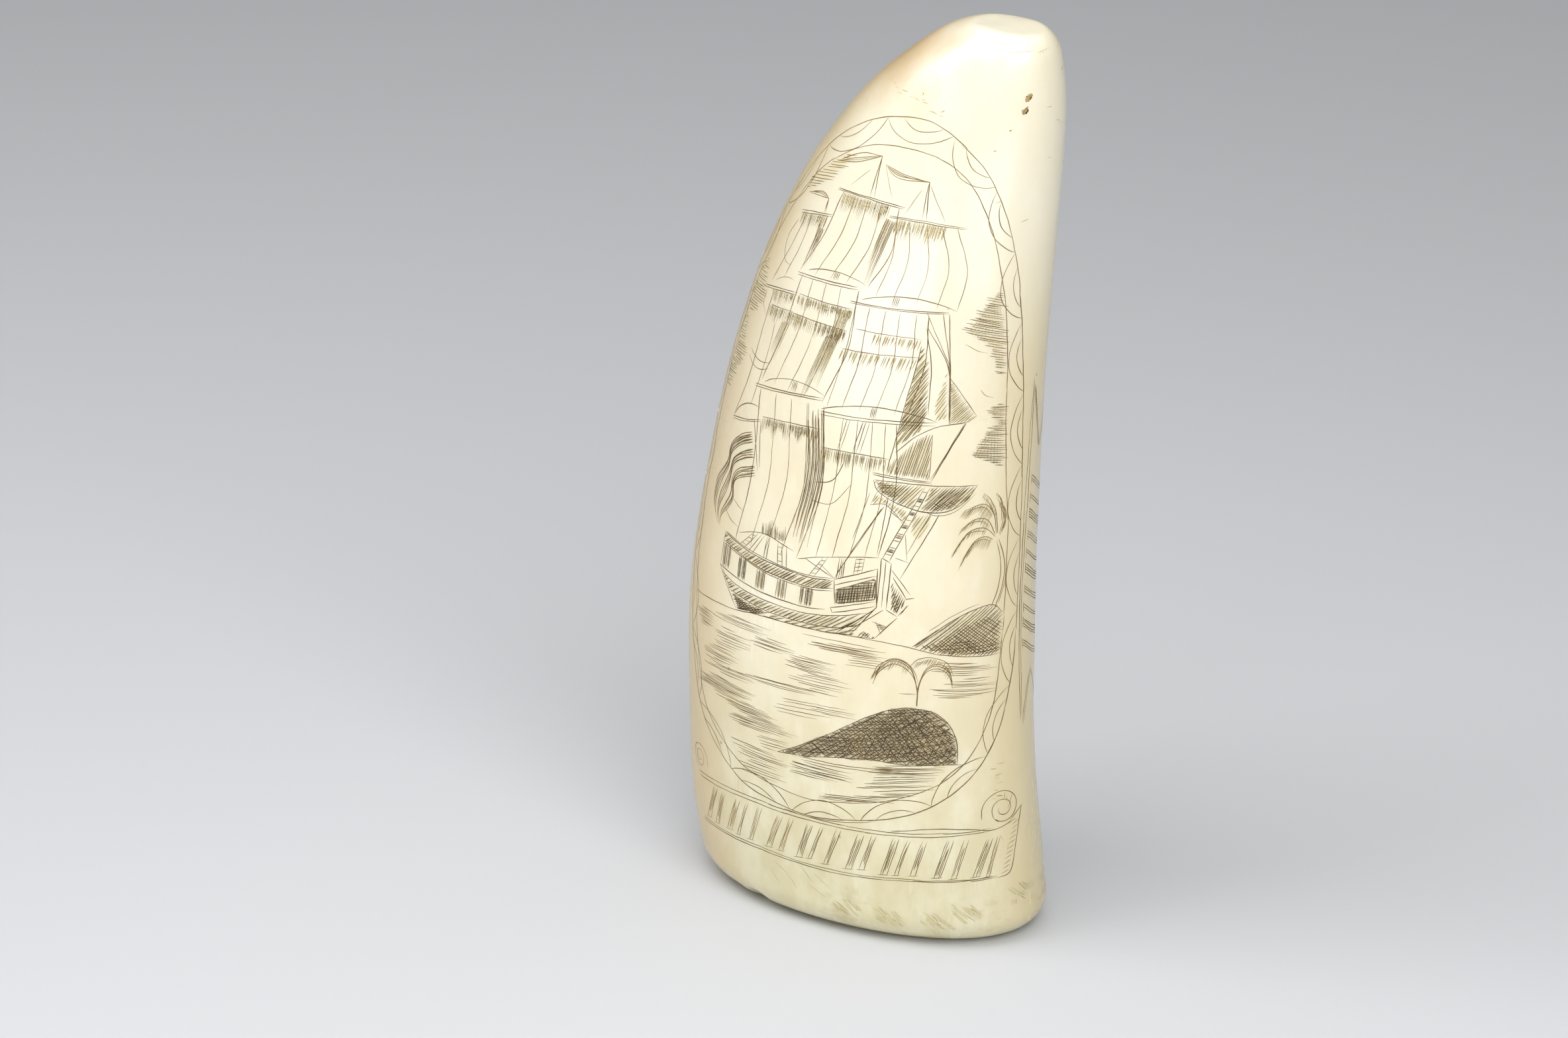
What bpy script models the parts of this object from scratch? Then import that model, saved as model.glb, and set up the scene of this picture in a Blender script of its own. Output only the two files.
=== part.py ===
"""A whale tooth for scrimshaw, polished and sawn flat at the root so that it stands.

Units are metres, +Z up. X runs along the long axis of the oval section, with the tip leaning
to +X, and the broad face that carries the engraving looks along -Y. The origin is the middle
of the tooth's box in plan, on the surface that it stands on.
"""

import math

import bmesh
import bpy

MM = 0.001

# Driving dimensions
HEIGHT = 150.0 * MM
DEPTH_TO_WIDTH_ROOT = 0.575      # the section is a flat oval over the lower half
DEPTH_TO_WIDTH_TIP = 0.80        # and rounder at the tip
OVAL_EXPONENT = 2.07             # 2 is an ellipse, and more is squarer
ROUNDING_STARTS = 0.45           # share of the height where the oval starts to turn round

# The two edges of the tooth seen square on to its broad face: share of the height, then
# x of the outer (convex) edge and x of the inner (hollow) edge, in millimetres.
EDGES = (
    (0.00, -27.6, 31.7),
    (0.08, -30.1, 30.3),
    (0.20, -31.0, 28.4),
    (0.35, -30.4, 27.9),
    (0.50, -26.7, 28.1),
    (0.64, -21.6, 28.8),
    (0.76, -15.0, 29.8),
    (0.86, -6.6, 30.7),
    (0.94, 3.4, 31.0),
    (1.00, 15.0, 29.9),
)

# The sawn root is softened by a wide rounded edge, and the worn tip by a smaller one
ROOT_EDGE_WIDTH = 5.7 * MM
ROOT_EDGE_HEIGHT = 5.1 * MM
TIP_EDGE_WIDTH = 2.4 * MM
TIP_EDGE_HEIGHT = 3.5 * MM
TIP_SLOPE = -0.08                # the worn facet falls a little towards +X
TIP_SLOPE_REACH = 12             # how fast that slope dies out below the tip

# The pulp cavity, a blind cone that opens in the sawn root
CAVITY_HALF_WIDTH = 13.5 * MM
CAVITY_HALF_DEPTH = 7.5 * MM
CAVITY_HEIGHT = 38.0 * MM

# Facets
SEGMENTS = 72
EDGE_RINGS = 5
BODY_RINGS = 26
CAVITY_RINGS = 8

IVORY = (0.86, 0.80, 0.62, 1.0)
IVORY_ROUGHNESS = 0.32


def clear_scene():
    for found in list(bpy.data.objects):
        bpy.data.objects.remove(found, do_unlink=True)


def edge_slopes(heights, values):
    """Slope of a smooth curve at each of its points, from the chords on either side."""
    count = len(heights)
    spans = [heights[i + 1] - heights[i] for i in range(count - 1)]
    chords = [(values[i + 1] - values[i]) / spans[i] for i in range(count - 1)]
    slopes = [0.0] * count
    for i in range(1, count - 1):
        slopes[i] = (chords[i - 1] * spans[i] + chords[i] * spans[i - 1]) / (spans[i] + spans[i - 1])
    slopes[0] = 1.5 * chords[0] - 0.5 * slopes[1]
    slopes[-1] = 1.5 * chords[-1] - 0.5 * slopes[-2]
    return slopes


def edge_at(column, share):
    """x of an edge at a share of the height, read from the smooth curve through its points."""
    heights = [row[0] for row in EDGES]
    values = [row[column] * MM for row in EDGES]
    slopes = edge_slopes(heights, values)
    i = 0
    while i < len(heights) - 2 and share > heights[i + 1]:
        i += 1
    span = heights[i + 1] - heights[i]
    t = (share - heights[i]) / span
    start = values[i] * (1 + 2 * t) * (1 - t) ** 2 + slopes[i] * span * t * (1 - t) ** 2
    end = values[i + 1] * t * t * (3 - 2 * t) + slopes[i + 1] * span * t * t * (t - 1)
    return start + end


def rounded_inset(distance, width, height):
    """How far a rounded edge draws the section in, at a distance from the cut face."""
    share = max(0.0, 1.0 - distance / height)
    return width * (1.0 - math.sqrt(1.0 - share * share))


def oval_ring(centre, half_width, half_depth):
    """Points (x, y) of a soft-cornered oval, starting at its +X end and turning by -Y."""
    power = 2.0 / OVAL_EXPONENT
    points = []
    for k in range(SEGMENTS):
        angle = 2.0 * math.pi * k / SEGMENTS
        c = math.cos(angle)
        s = math.sin(angle)
        x = centre + half_width * math.copysign(abs(c) ** power, c)
        y = -half_depth * math.copysign(abs(s) ** power, s)
        points.append((x, y))
    return points


def section(z):
    """Centre, half width and half depth of the tooth at a height."""
    share = z / HEIGHT
    outer = edge_at(1, share)
    inner = edge_at(2, share)
    turn = max(0.0, (share - ROUNDING_STARTS) / (1.0 - ROUNDING_STARTS)) ** 2
    ratio = DEPTH_TO_WIDTH_ROOT + (DEPTH_TO_WIDTH_TIP - DEPTH_TO_WIDTH_ROOT) * turn
    root_inset = rounded_inset(z, ROOT_EDGE_WIDTH, ROOT_EDGE_HEIGHT)
    tip_inset = rounded_inset(HEIGHT - z, TIP_EDGE_WIDTH, TIP_EDGE_HEIGHT)
    half = (inner - outer) / 2.0
    half_width = half - root_inset - tip_inset
    half_depth = half * ratio - root_inset - tip_inset * ratio
    return (inner + outer) / 2.0, half_width, half_depth


def body_heights():
    """Heights of the outer rings: close together round the two edges, even between them."""
    heights = []
    for k in range(EDGE_RINGS):
        heights.append(ROOT_EDGE_HEIGHT * (1.0 - math.cos(0.5 * math.pi * k / EDGE_RINGS)))
    low = ROOT_EDGE_HEIGHT
    high = HEIGHT - TIP_EDGE_HEIGHT
    for k in range(BODY_RINGS + 1):
        heights.append(low + (high - low) * k / BODY_RINGS)
    for k in range(1, EDGE_RINGS + 1):
        heights.append(high + TIP_EDGE_HEIGHT * math.sin(0.5 * math.pi * k / EDGE_RINGS))
    return heights


def body_ring(z):
    centre, half_width, half_depth = section(z)
    slope = TIP_SLOPE * (z / HEIGHT) ** TIP_SLOPE_REACH
    return [(x, y, z + slope * (x - centre)) for x, y in oval_ring(centre, half_width, half_depth)]


def cavity_ring(share):
    """A ring of the pulp cavity: share 0 is the mouth, and 1 would be its blunt point."""
    size = (1.0 - share ** 1.3) ** 0.8
    z = CAVITY_HEIGHT * share
    ring = oval_ring(section(z)[0], CAVITY_HALF_WIDTH * size, CAVITY_HALF_DEPTH * size)
    return [(x, y, z) for x, y in ring]


def middle(ring):
    count = len(ring)
    return tuple(sum(point[axis] for point in ring) / count for axis in range(3))


def tooth_mesh():
    """One closed skin: up the cavity's wall, out over the sawn root, and up to the tip."""
    rings = [cavity_ring(k / CAVITY_RINGS) for k in range(CAVITY_RINGS - 1, -1, -1)]
    rings += [body_ring(z) for z in body_heights()]
    cavity_end = section(CAVITY_HEIGHT)[0]

    shape = bmesh.new()
    loops = [[shape.verts.new(point) for point in ring] for ring in rings]
    for lower, upper in zip(loops, loops[1:]):
        for k in range(SEGMENTS):
            j = (k + 1) % SEGMENTS
            shape.faces.new((lower[k], lower[j], upper[j], upper[k]))
    cavity_point = shape.verts.new((cavity_end, 0.0, CAVITY_HEIGHT))
    tip_point = shape.verts.new(middle(rings[-1]))
    for k in range(SEGMENTS):
        j = (k + 1) % SEGMENTS
        shape.faces.new((cavity_point, loops[0][j], loops[0][k]))
        shape.faces.new((tip_point, loops[-1][k], loops[-1][j]))
    bmesh.ops.recalc_face_normals(shape, faces=shape.faces[:])

    mesh = bpy.data.meshes.new("tooth")
    shape.to_mesh(mesh)
    shape.free()
    mesh.shade_smooth()
    mesh.set_sharp_from_angle(angle=math.radians(40.0))
    return mesh


def ivory():
    material = bpy.data.materials.new("ivory")
    material.use_nodes = True
    shader = material.node_tree.nodes["Principled BSDF"]
    shader.inputs["Base Color"].default_value = IVORY
    shader.inputs["Roughness"].default_value = IVORY_ROUGHNESS
    shader.inputs["Metallic"].default_value = 0.0
    return material


clear_scene()
tooth = bpy.data.objects.new("tooth", tooth_mesh())
tooth.data.materials.append(ivory())
bpy.context.scene.collection.objects.link(tooth)
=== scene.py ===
"""A scrimshaw whale tooth: its looks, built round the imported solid.

Metres, +Z up. The tooth stands on its sawn root, its tip leans to +X, and the engraved broad
face looks along -Y, as in the solid.
"""

import math
import random

import bpy
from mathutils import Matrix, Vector


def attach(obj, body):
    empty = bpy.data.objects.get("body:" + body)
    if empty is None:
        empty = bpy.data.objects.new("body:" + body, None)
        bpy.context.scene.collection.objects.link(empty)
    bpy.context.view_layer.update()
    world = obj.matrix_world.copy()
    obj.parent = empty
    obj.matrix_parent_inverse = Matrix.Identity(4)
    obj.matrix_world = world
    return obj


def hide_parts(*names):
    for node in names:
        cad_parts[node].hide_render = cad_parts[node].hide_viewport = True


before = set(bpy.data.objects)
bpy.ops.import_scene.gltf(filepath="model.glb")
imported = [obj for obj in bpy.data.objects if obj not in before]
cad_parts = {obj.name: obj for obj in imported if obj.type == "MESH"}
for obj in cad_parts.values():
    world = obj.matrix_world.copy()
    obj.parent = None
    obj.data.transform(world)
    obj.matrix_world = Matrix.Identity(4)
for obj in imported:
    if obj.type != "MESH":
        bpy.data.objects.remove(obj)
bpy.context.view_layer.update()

MM = 0.001


# The studio: a seamless pale table under a large ceiling lamp, soft lamps high on the right and
# on the left, and small lit cards low in front that put the gloss on the engraved face.

CAMERA_AZIMUTH = math.radians(27.8)
CAMERA_ELEVATION = math.radians(24.0)
CAMERA_DISTANCE = 0.7107
CAMERA_AIM = Vector((-0.0228, 0.0146, 0.0550))
LENS = 100.0
SENSOR = 36.0

LAMPS = (
    # name, place, aim height, width, height, watts
    ("key_softbox", (0.34, -0.30, 0.46), 0.110, 0.42, 0.42, 2.55),
    ("left_softbox", (-0.39, -0.29, 0.60), 0.105, 0.40, 0.40, 2.35),
    ("ceiling_softbox", (0.0, 0.3, 2.4), 0.0, 3.0, 3.0, 31.0),
    ("tip_softbox", (-0.02, -0.17, 0.36), 0.135, 0.16, 0.16, 0.22),
    ("front_card", (-0.035, -0.255, 0.024), 0.104, 0.18, 0.040, 0.12),
    ("right_card", (0.170, -0.180, 0.045), 0.125, 0.18, 0.045, 0.07),
)

FLOOR_SIZE = 6.0
FLOOR_COLOUR = (0.60, 0.61, 0.63)
FLOOR_ROUGHNESS = 0.85
WORLD_COLOUR = (0.80, 0.82, 0.85)
WORLD_STRENGTH = 0.06


def direction(azimuth, elevation):
    """Unit vector from the tooth towards a compass angle, which is 0 in front of its face."""
    level = math.cos(elevation)
    return Vector((math.sin(azimuth) * level, -math.cos(azimuth) * level, math.sin(elevation)))


def opaque(colour):
    return (*colour, 1.0)


def new_material(name):
    """A material with its shader joined to its output: gives material, tree and shader."""
    material = bpy.data.materials.new(name)
    material.use_nodes = True
    tree = material.node_tree
    return material, tree, tree.nodes["Principled BSDF"]


scene = bpy.context.scene
camera_data = bpy.data.cameras.new("camera")
camera_data.lens = LENS
camera_data.sensor_width = SENSOR
camera_data.clip_start = 0.01
camera = bpy.data.objects.new("camera", camera_data)
camera_back = direction(CAMERA_AZIMUTH, CAMERA_ELEVATION)
camera.location = CAMERA_AIM + camera_back * CAMERA_DISTANCE
camera.rotation_euler = camera_back.to_track_quat("Z", "Y").to_euler()
scene.collection.objects.link(camera)
scene.camera = camera
scene.view_settings.view_transform = "Standard"

for name, place, aim_height, width, height, watts in LAMPS:
    lamp_data = bpy.data.lights.new(name, "AREA")
    lamp_data.shape = "RECTANGLE"
    lamp_data.size = width
    lamp_data.size_y = height
    lamp_data.energy = watts
    lamp = bpy.data.objects.new(name, lamp_data)
    lamp.location = place
    lamp_back = Vector(place) - Vector((0.0, 0.0, aim_height))
    lamp.rotation_euler = lamp_back.to_track_quat("Z", "Y").to_euler()
    lamp.visible_camera = False
    scene.collection.objects.link(lamp)

world = bpy.data.worlds.new("world")
world.use_nodes = True
sky = world.node_tree.nodes["Background"]
sky.inputs["Color"].default_value = opaque(WORLD_COLOUR)
sky.inputs["Strength"].default_value = WORLD_STRENGTH
scene.world = world

floor_mesh = bpy.data.meshes.new("floor")
half_floor = FLOOR_SIZE / 2
floor_corners = [(-1, -1), (1, -1), (1, 1), (-1, 1)]
floor_mesh.from_pydata([(x * half_floor, y * half_floor, 0.0) for x, y in floor_corners], [], [(0, 1, 2, 3)])
floor = bpy.data.objects.new("floor", floor_mesh)
scene.collection.objects.link(floor)
floor_material, _, floor_shader = new_material("floor_paper")
floor_shader.inputs["Base Color"].default_value = opaque(FLOOR_COLOUR)
floor_shader.inputs["Roughness"].default_value = FLOOR_ROUGHNESS
floor_mesh.materials.append(floor_material)


# The tooth: sperm whale ivory, sawn flat at the root, scraped and polished with ash, with the
# open pulp cavity in its root. One skin is lofted over oval rings along its leaning middle.

HEIGHT = 150.0
DEPTH_TO_WIDTH_ROOT = 0.575
DEPTH_TO_WIDTH_TIP = 0.80
OVAL_EXPONENT = 2.07
ROUNDING_STARTS = 0.45

# Share of the height, then x of the outer (convex) edge and of the inner (hollow) edge
EDGES = (
    (0.00, -27.6, 31.7),
    (0.08, -30.1, 30.3),
    (0.20, -31.0, 28.4),
    (0.35, -30.4, 27.9),
    (0.50, -26.7, 28.1),
    (0.64, -21.6, 28.8),
    (0.76, -15.0, 29.8),
    (0.86, -6.6, 30.7),
    (0.94, 3.4, 31.0),
    (1.00, 15.0, 29.9),
)
ROOT_EDGE = (5.7, 5.1)
TIP_EDGE = (2.4, 3.5)
TIP_SLOPE = -0.08
TIP_SLOPE_REACH = 12
CAVITY_WIDE, CAVITY_DEEP, CAVITY_HIGH = 13.5, 7.5, 38.0

# Worn hollows and bruises: place, reach and depth
CHIPS = (
    ((13.5, -5.0, 151.0), 7.0, 0.35),
    ((28.5, -2.0, 149.0), 6.0, 0.10),
    ((21.0, 7.5, 150.0), 6.0, 0.22),
    ((17.5, 1.0, 152.0), 6.0, 0.20),
    ((-12.5, -13.6, 1.2), 2.6, 0.70),
    ((-17.5, -12.2, 0.8), 2.0, 0.40),
    ((24.0, 9.5, 1.0), 3.5, 0.60),
)
WAVINESS = 0.34
WAVE_SIZE = 18.0
WAVES_START = 0.004              # height over the table where the waviness is at its full

# How many rings each stretch of the skin has, from the end of the cavity to the tip
CAVITY_RINGS = 26
SAWN_RINGS = 8
EDGE_RINGS = 9
BODY_RINGS = 190
FACET_RINGS = 6
COLUMNS = 224

# What the loft reads from the spine, besides its place
SPINE_COLUMNS = ("half_width", "half_depth", "slope", "rise")

# The flat map of the skin is metres round the ring and up the tooth, moved to be positive
FLAT_SHIFT = 0.1

# Places of the colour sockets on a Mix node
MIX_A, MIX_B, MIX_RESULT = 6, 7, 2


def edge_at(column, share):
    """x of an edge at a share of the height, on the smooth curve through its points."""
    rows = EDGES
    spans = [b[0] - a[0] for a, b in zip(rows, rows[1:])]
    chords = [(b[column] - a[column]) / (b[0] - a[0]) for a, b in zip(rows, rows[1:])]
    slopes = [0.0] * len(rows)
    for i in range(1, len(rows) - 1):
        slopes[i] = (chords[i - 1] * spans[i] + chords[i] * spans[i - 1]) / (spans[i] + spans[i - 1])
    slopes[0] = 1.5 * chords[0] - 0.5 * slopes[1]
    slopes[-1] = 1.5 * chords[-1] - 0.5 * slopes[-2]
    i = 0
    while i < len(rows) - 2 and share > rows[i + 1][0]:
        i += 1
    t = (share - rows[i][0]) / spans[i]
    start = rows[i][column] * (1 + 2 * t) * (1 - t) ** 2 + slopes[i] * spans[i] * t * (1 - t) ** 2
    end = rows[i + 1][column] * t * t * (3 - 2 * t) + slopes[i + 1] * spans[i] * t * t * (t - 1)
    return start + end


def rounded_inset(distance, width, height):
    """How far a rounded edge draws the section in, at a distance from the cut face."""
    share = max(0.0, 1.0 - distance / height)
    return width * (1.0 - math.sqrt(1.0 - share * share))


def section(z):
    """Middle, half width and half depth of the tooth at a height, in millimetres."""
    share = z / HEIGHT
    outer = edge_at(1, share)
    inner = edge_at(2, share)
    turn = max(0.0, (share - ROUNDING_STARTS) / (1.0 - ROUNDING_STARTS)) ** 2
    ratio = DEPTH_TO_WIDTH_ROOT + (DEPTH_TO_WIDTH_TIP - DEPTH_TO_WIDTH_ROOT) * turn
    root_inset = rounded_inset(z, *ROOT_EDGE)
    tip_inset = rounded_inset(HEIGHT - z, *TIP_EDGE)
    half = (inner - outer) / 2.0
    half_depth = half * ratio - root_inset - tip_inset * ratio
    return (inner + outer) / 2.0, half - root_inset - tip_inset, half_depth


def tooth_spine():
    """Rows of (middle x, z, half width, half depth, slope, height on the flat map), in mm."""
    rows = []
    root = section(0.0)
    for k in range(CAVITY_RINGS, -1, -1):
        share = (k / CAVITY_RINGS) ** 1.2
        size = (1.0 - share ** 1.3) ** 0.8
        z = CAVITY_HIGH * share
        rows.append([section(z)[0], z, CAVITY_WIDE * size, CAVITY_DEEP * size, 0.0, 0.0])
    for k in range(1, SAWN_RINGS + 1):
        share = k / SAWN_RINGS
        wide = CAVITY_WIDE + (root[1] - CAVITY_WIDE) * share
        deep = CAVITY_DEEP + (root[2] - CAVITY_DEEP) * share
        rows.append([root[0], 0.0, wide, deep, 0.0, 0.0])
    for k in range(len(rows) - 2, -1, -1):
        step = math.hypot(rows[k + 1][1] - rows[k][1], rows[k + 1][2] - rows[k][2])
        rows[k][5] = rows[k + 1][5] - step
    low = ROOT_EDGE[1]
    high = HEIGHT - TIP_EDGE[1]
    turns = [0.5 * math.pi * k / EDGE_RINGS for k in range(1, EDGE_RINGS + 1)]
    heights = [low * (1 - math.cos(turn)) for turn in turns[:-1]]
    heights += [low + (high - low) * k / BODY_RINGS for k in range(BODY_RINGS + 1)]
    heights += [high + TIP_EDGE[1] * math.sin(turn) for turn in turns]
    for z in heights:
        slope = TIP_SLOPE * (z / HEIGHT) ** TIP_SLOPE_REACH
        middle, wide, deep = section(z)
        rows.append([middle, z, wide, deep, slope, z])
    tip = rows[-1]
    for k in range(1, FACET_RINGS + 1):
        size = 1.0 - k / FACET_RINGS
        rise = HEIGHT + tip[2] * (1 - size)
        rows.append([tip[0], HEIGHT, tip[2] * size, tip[3] * size, TIP_SLOPE, rise])
    return rows


class Wire:
    """A node's output that is reckoned with like a number: every step adds a Math node."""

    def __init__(self, socket):
        self.socket = socket
        self.tree = socket.id_data

    def calc(self, operation, other=0.0, swapped=False):
        first, second = (other, self) if swapped else (self, other)
        return add(self.tree, "ShaderNodeMath", {0: first, 1: second}, operation=operation)

    def __add__(self, other):
        return self.calc("ADD", other)

    def __sub__(self, other):
        return self.calc("SUBTRACT", other)

    def __rsub__(self, other):
        return self.calc("SUBTRACT", other, swapped=True)

    def __mul__(self, other):
        return self.calc("MULTIPLY", other)

    def __truediv__(self, other):
        return self.calc("DIVIDE", other)

    def __rtruediv__(self, other):
        return self.calc("DIVIDE", other, swapped=True)

    def __abs__(self):
        return self.calc("ABSOLUTE")

    def vector(self, operation, other=(0.0, 0.0, 0.0)):
        """One Vector Math node on this and another vector."""
        out = "Value" if operation == "DISTANCE" else "Vector"
        return add(self.tree, "ShaderNodeVectorMath", {0: self, 1: other}, out, operation=operation)

    def scaled(self, scale):
        return add(self.tree, "ShaderNodeVectorMath", {0: self, "Scale": scale}, operation="SCALE")

    def parts(self):
        """x, y and z of a vector."""
        node = new_node(self.tree, "ShaderNodeSeparateXYZ", {0: self})
        return [Wire(out) for out in node.outputs]

    def join(self, shader, label):
        self.tree.links.new(self.socket, shader.inputs[label])


def new_node(tree, kind, sockets, **settings):
    """Adds a node, sets its properties, and fills or joins its input sockets."""
    node = tree.nodes.new(kind)
    for name, value in settings.items():
        setattr(node, name, value)
    for key, value in sockets.items():
        if isinstance(value, Wire):
            tree.links.new(value.socket, node.inputs[key])
        else:
            node.inputs[key].default_value = value
    return node


def add(tree, kind, sockets=None, out=0, **settings):
    """Adds a node and gives one of its outputs."""
    return Wire(new_node(tree, kind, sockets or {}, **settings).outputs[out])


def vector_of(tree, *values):
    """A vector with the given x, y and z."""
    return add(tree, "ShaderNodeCombineXYZ", dict(enumerate(values)))


def new_tree(name, inputs):
    """An empty geometry node group with a geometry input and output and the named inputs."""
    tree = bpy.data.node_groups.new(name, "GeometryNodeTree")
    tree.interface.new_socket(name="Geometry", in_out="INPUT", socket_type="NodeSocketGeometry")
    for label, kind in inputs.items():
        tree.interface.new_socket(name=label, in_out="INPUT", socket_type="NodeSocket" + kind)
    tree.interface.new_socket(name="Geometry", in_out="OUTPUT", socket_type="NodeSocketGeometry")
    given = tree.nodes.new("NodeGroupInput").outputs
    return tree, {label: Wire(given[label]) for label in ("Geometry", *inputs)}


def close_tree(geometry, spares, material):
    """Drops the attributes that only the nodes needed, sets the material and ends the tree."""
    tree = geometry.tree
    for spare in spares:
        geometry = add(tree, "GeometryNodeRemoveAttribute", {"Geometry": geometry, "Name": spare})
    geometry = add(tree, "GeometryNodeRealizeInstances", {"Geometry": geometry})
    geometry = add(tree, "GeometryNodeSetMaterial", {"Geometry": geometry, "Material": material})
    new_node(tree, "NodeGroupOutput", {0: geometry})
    return tree


def store(geometry, name, value, kind="FLOAT", domain="POINT"):
    """Stores a named attribute: gives the geometry with it."""
    sockets = {"Geometry": geometry, "Name": name, "Value": value}
    return add(geometry.tree, "GeometryNodeStoreNamedAttribute", sockets, data_type=kind, domain=domain)


def named(tree, name, kind="FLOAT"):
    return add(tree, "GeometryNodeInputNamedAttribute", {"Name": name}, data_type=kind)


def position(tree):
    return add(tree, "GeometryNodeInputPosition")


def moved(geometry, **places):
    """Moves the points of a geometry to a Position or by an Offset."""
    return add(geometry.tree, "GeometryNodeSetPosition", {"Geometry": geometry, **places})


def run_nodes(piece, tree, values):
    """Puts the tree on a piece, sets its named inputs, and makes the result its plain mesh."""
    modifier = piece.modifiers.new(tree.name, "NODES")
    modifier.node_group = tree
    for item in tree.interface.items_tree:
        if item.item_type == "SOCKET" and item.in_out == "INPUT" and item.name in values:
            modifier[item.identifier] = values[item.name]
    graph = bpy.context.evaluated_depsgraph_get()
    mesh = bpy.data.meshes.new_from_object(piece.evaluated_get(graph), depsgraph=graph)
    piece.modifiers.clear()
    raw = piece.data
    piece.data = mesh
    bpy.data.meshes.remove(raw)
    mesh.name = piece.name


def fade(value, start, end, top=1.0):
    """A soft share that rises from 0 at start to top at end."""
    sockets = {"Value": value, "From Min": start, "From Max": end, "To Max": top}
    return add(value.tree, "ShaderNodeMapRange", sockets, interpolation_type="SMOOTHSTEP")


def blend(share, a, b):
    """Mixes two colours."""
    sockets = {"Factor": share}
    for key, colour in ((MIX_A, a), (MIX_B, b)):
        sockets[key] = colour if isinstance(colour, Wire) else opaque(colour)
    return add(share.tree, "ShaderNodeMix", sockets, MIX_RESULT, data_type="RGBA")


def noise(place, scale, detail, rough=0.5):
    sockets = {"Vector": place, "Scale": scale, "Detail": detail, "Roughness": rough}
    return add(place.tree, "ShaderNodeTexNoise", sockets)


def grain(place, stretch, detail=3.0):
    """Noise stretched by a scale along each axis, in cycles to a metre."""
    at = add(place.tree, "ShaderNodeMapping", {"Vector": place, "Scale": stretch})
    return noise(at, 1.0, detail, 0.55)


def attribute(tree, name, out="Vector"):
    return add(tree, "ShaderNodeAttribute", out=out, attribute_name=name)


def bump(height, strength, distance, shader):
    """Gives a shader the fine relief of a height."""
    sockets = {"Strength": strength, "Distance": distance, "Height": height}
    add(height.tree, "ShaderNodeBump", sockets).join(shader, "Normal")


def loft_tree():
    """Geometry nodes that loft the tooth's skin over the rings of its spine."""
    tree, given = new_tree("tooth_loft", {
        "Columns": "Int", "Oval exponent": "Float", "Waviness": "Float", "Wave size": "Float",
        "Seed": "Float", "Flat shift": "Float", "Ivory": "Material"})
    spine = given["Geometry"]
    columns = given["Columns"]
    rings = add(tree, "GeometryNodeAttributeDomainSize", {"Geometry": spine}, "Point Count")
    sockets = {"Size X": 1.0, "Size Y": 1.0, "Vertices X": columns + 1.0, "Vertices Y": rings}
    grid = add(tree, "GeometryNodeMeshGrid", sockets)
    index = add(tree, "GeometryNodeInputIndex")
    skin = store(grid, "ring", index.calc("MODULO", rings))
    skin = store(skin, "column", (index / rings).calc("FLOOR"))
    ring = named(tree, "ring")
    column = named(tree, "column")

    def of_ring(value, kind="FLOAT"):
        sockets = {"Geometry": spine, "Value": value, "Index": ring}
        return add(tree, "GeometryNodeSampleIndex", sockets, data_type=kind, domain="POINT")

    def of_point(value, index, kind):
        sockets = {"Index": index, "Value": value}
        return add(tree, "GeometryNodeFieldAtIndex", sockets, data_type=kind, domain="POINT")

    # The oval of each ring
    middle = of_ring(position(tree), "FLOAT_VECTOR")
    wide, deep, slope, rise = [of_ring(named(tree, label)) for label in SPINE_COLUMNS]
    share = column / columns
    angle = 1.5 * math.pi - share * (2.0 * math.pi)
    power = 2.0 / given["Oval exponent"]

    def oval(wave):
        turned = angle.calc(wave)
        return abs(turned).calc("POWER", power) * turned.calc("SIGN")

    out_x = oval("COSINE") * wide
    out_y = oval("SINE") * (deep * -1.0)
    skin = moved(skin, Position=middle.vector("ADD", vector_of(tree, out_x, out_y, out_x * slope)))

    # The flat map: the way round each ring from the middle of the face, and the rise
    here = position(tree)
    before = of_point(here, add(tree, "GeometryNodeInputIndex") - rings, "FLOAT_VECTOR")
    step = here.vector("DISTANCE", before) * column.calc("GREATER_THAN", 0.5)
    run = add(tree, "GeometryNodeAccumulateField", {"Value": step, "Group ID": ring}, "Leading",
              data_type="FLOAT", domain="POINT")
    run_front = of_point(run, columns * 0.5 * rings + ring, "FLOAT")
    flat_shift = given["Flat shift"]
    round_it = run - run_front + flat_shift
    skin = store(skin, "flat_at", vector_of(tree, round_it, rise + flat_shift), "FLOAT_VECTOR")
    flat_at = named(tree, "flat_at", "FLOAT_VECTOR")
    skin = store(skin, "flat", flat_at, "FLOAT2", "CORNER")
    skin = store(skin, "OFBake", vector_of(tree, share, ring / (rings - 1.0)), "FLOAT2", "CORNER")
    skin = add(tree, "GeometryNodeMergeByDistance", {"Geometry": skin, "Distance": 0.000002})

    # Gentle waves left by the scraper, and the chips
    wave_at = here.scaled(1.0 / given["Wave size"])
    sockets = {"Vector": wave_at, "W": given["Seed"], "Scale": 1.0, "Detail": 1.0}
    wave = add(tree, "ShaderNodeTexNoise", sockets, noise_dimensions="4D")
    standing = add(tree, "ShaderNodeClamp", {"Value": here.parts()[2] * (1.0 / WAVES_START)})
    outside = flat_at.parts()[1].calc("GREATER_THAN", flat_shift)
    push = (wave - 0.5) * given["Waviness"] * standing * outside
    for place, reach, depth in CHIPS:
        gap = here.vector("DISTANCE", tuple(value * MM for value in place))
        push = push - fade(gap, reach * MM, 0.25 * reach * MM, depth * MM)
    normal = add(tree, "GeometryNodeInputNormal")
    skin = moved(skin, Offset=normal.scaled(push))
    skin = store(skin, "facing", normal, "FLOAT_VECTOR")
    skin = add(tree, "GeometryNodeSetShadeSmooth", {"Geometry": skin})
    return close_tree(skin, ("ring", "column"), given["Ivory"])


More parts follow.
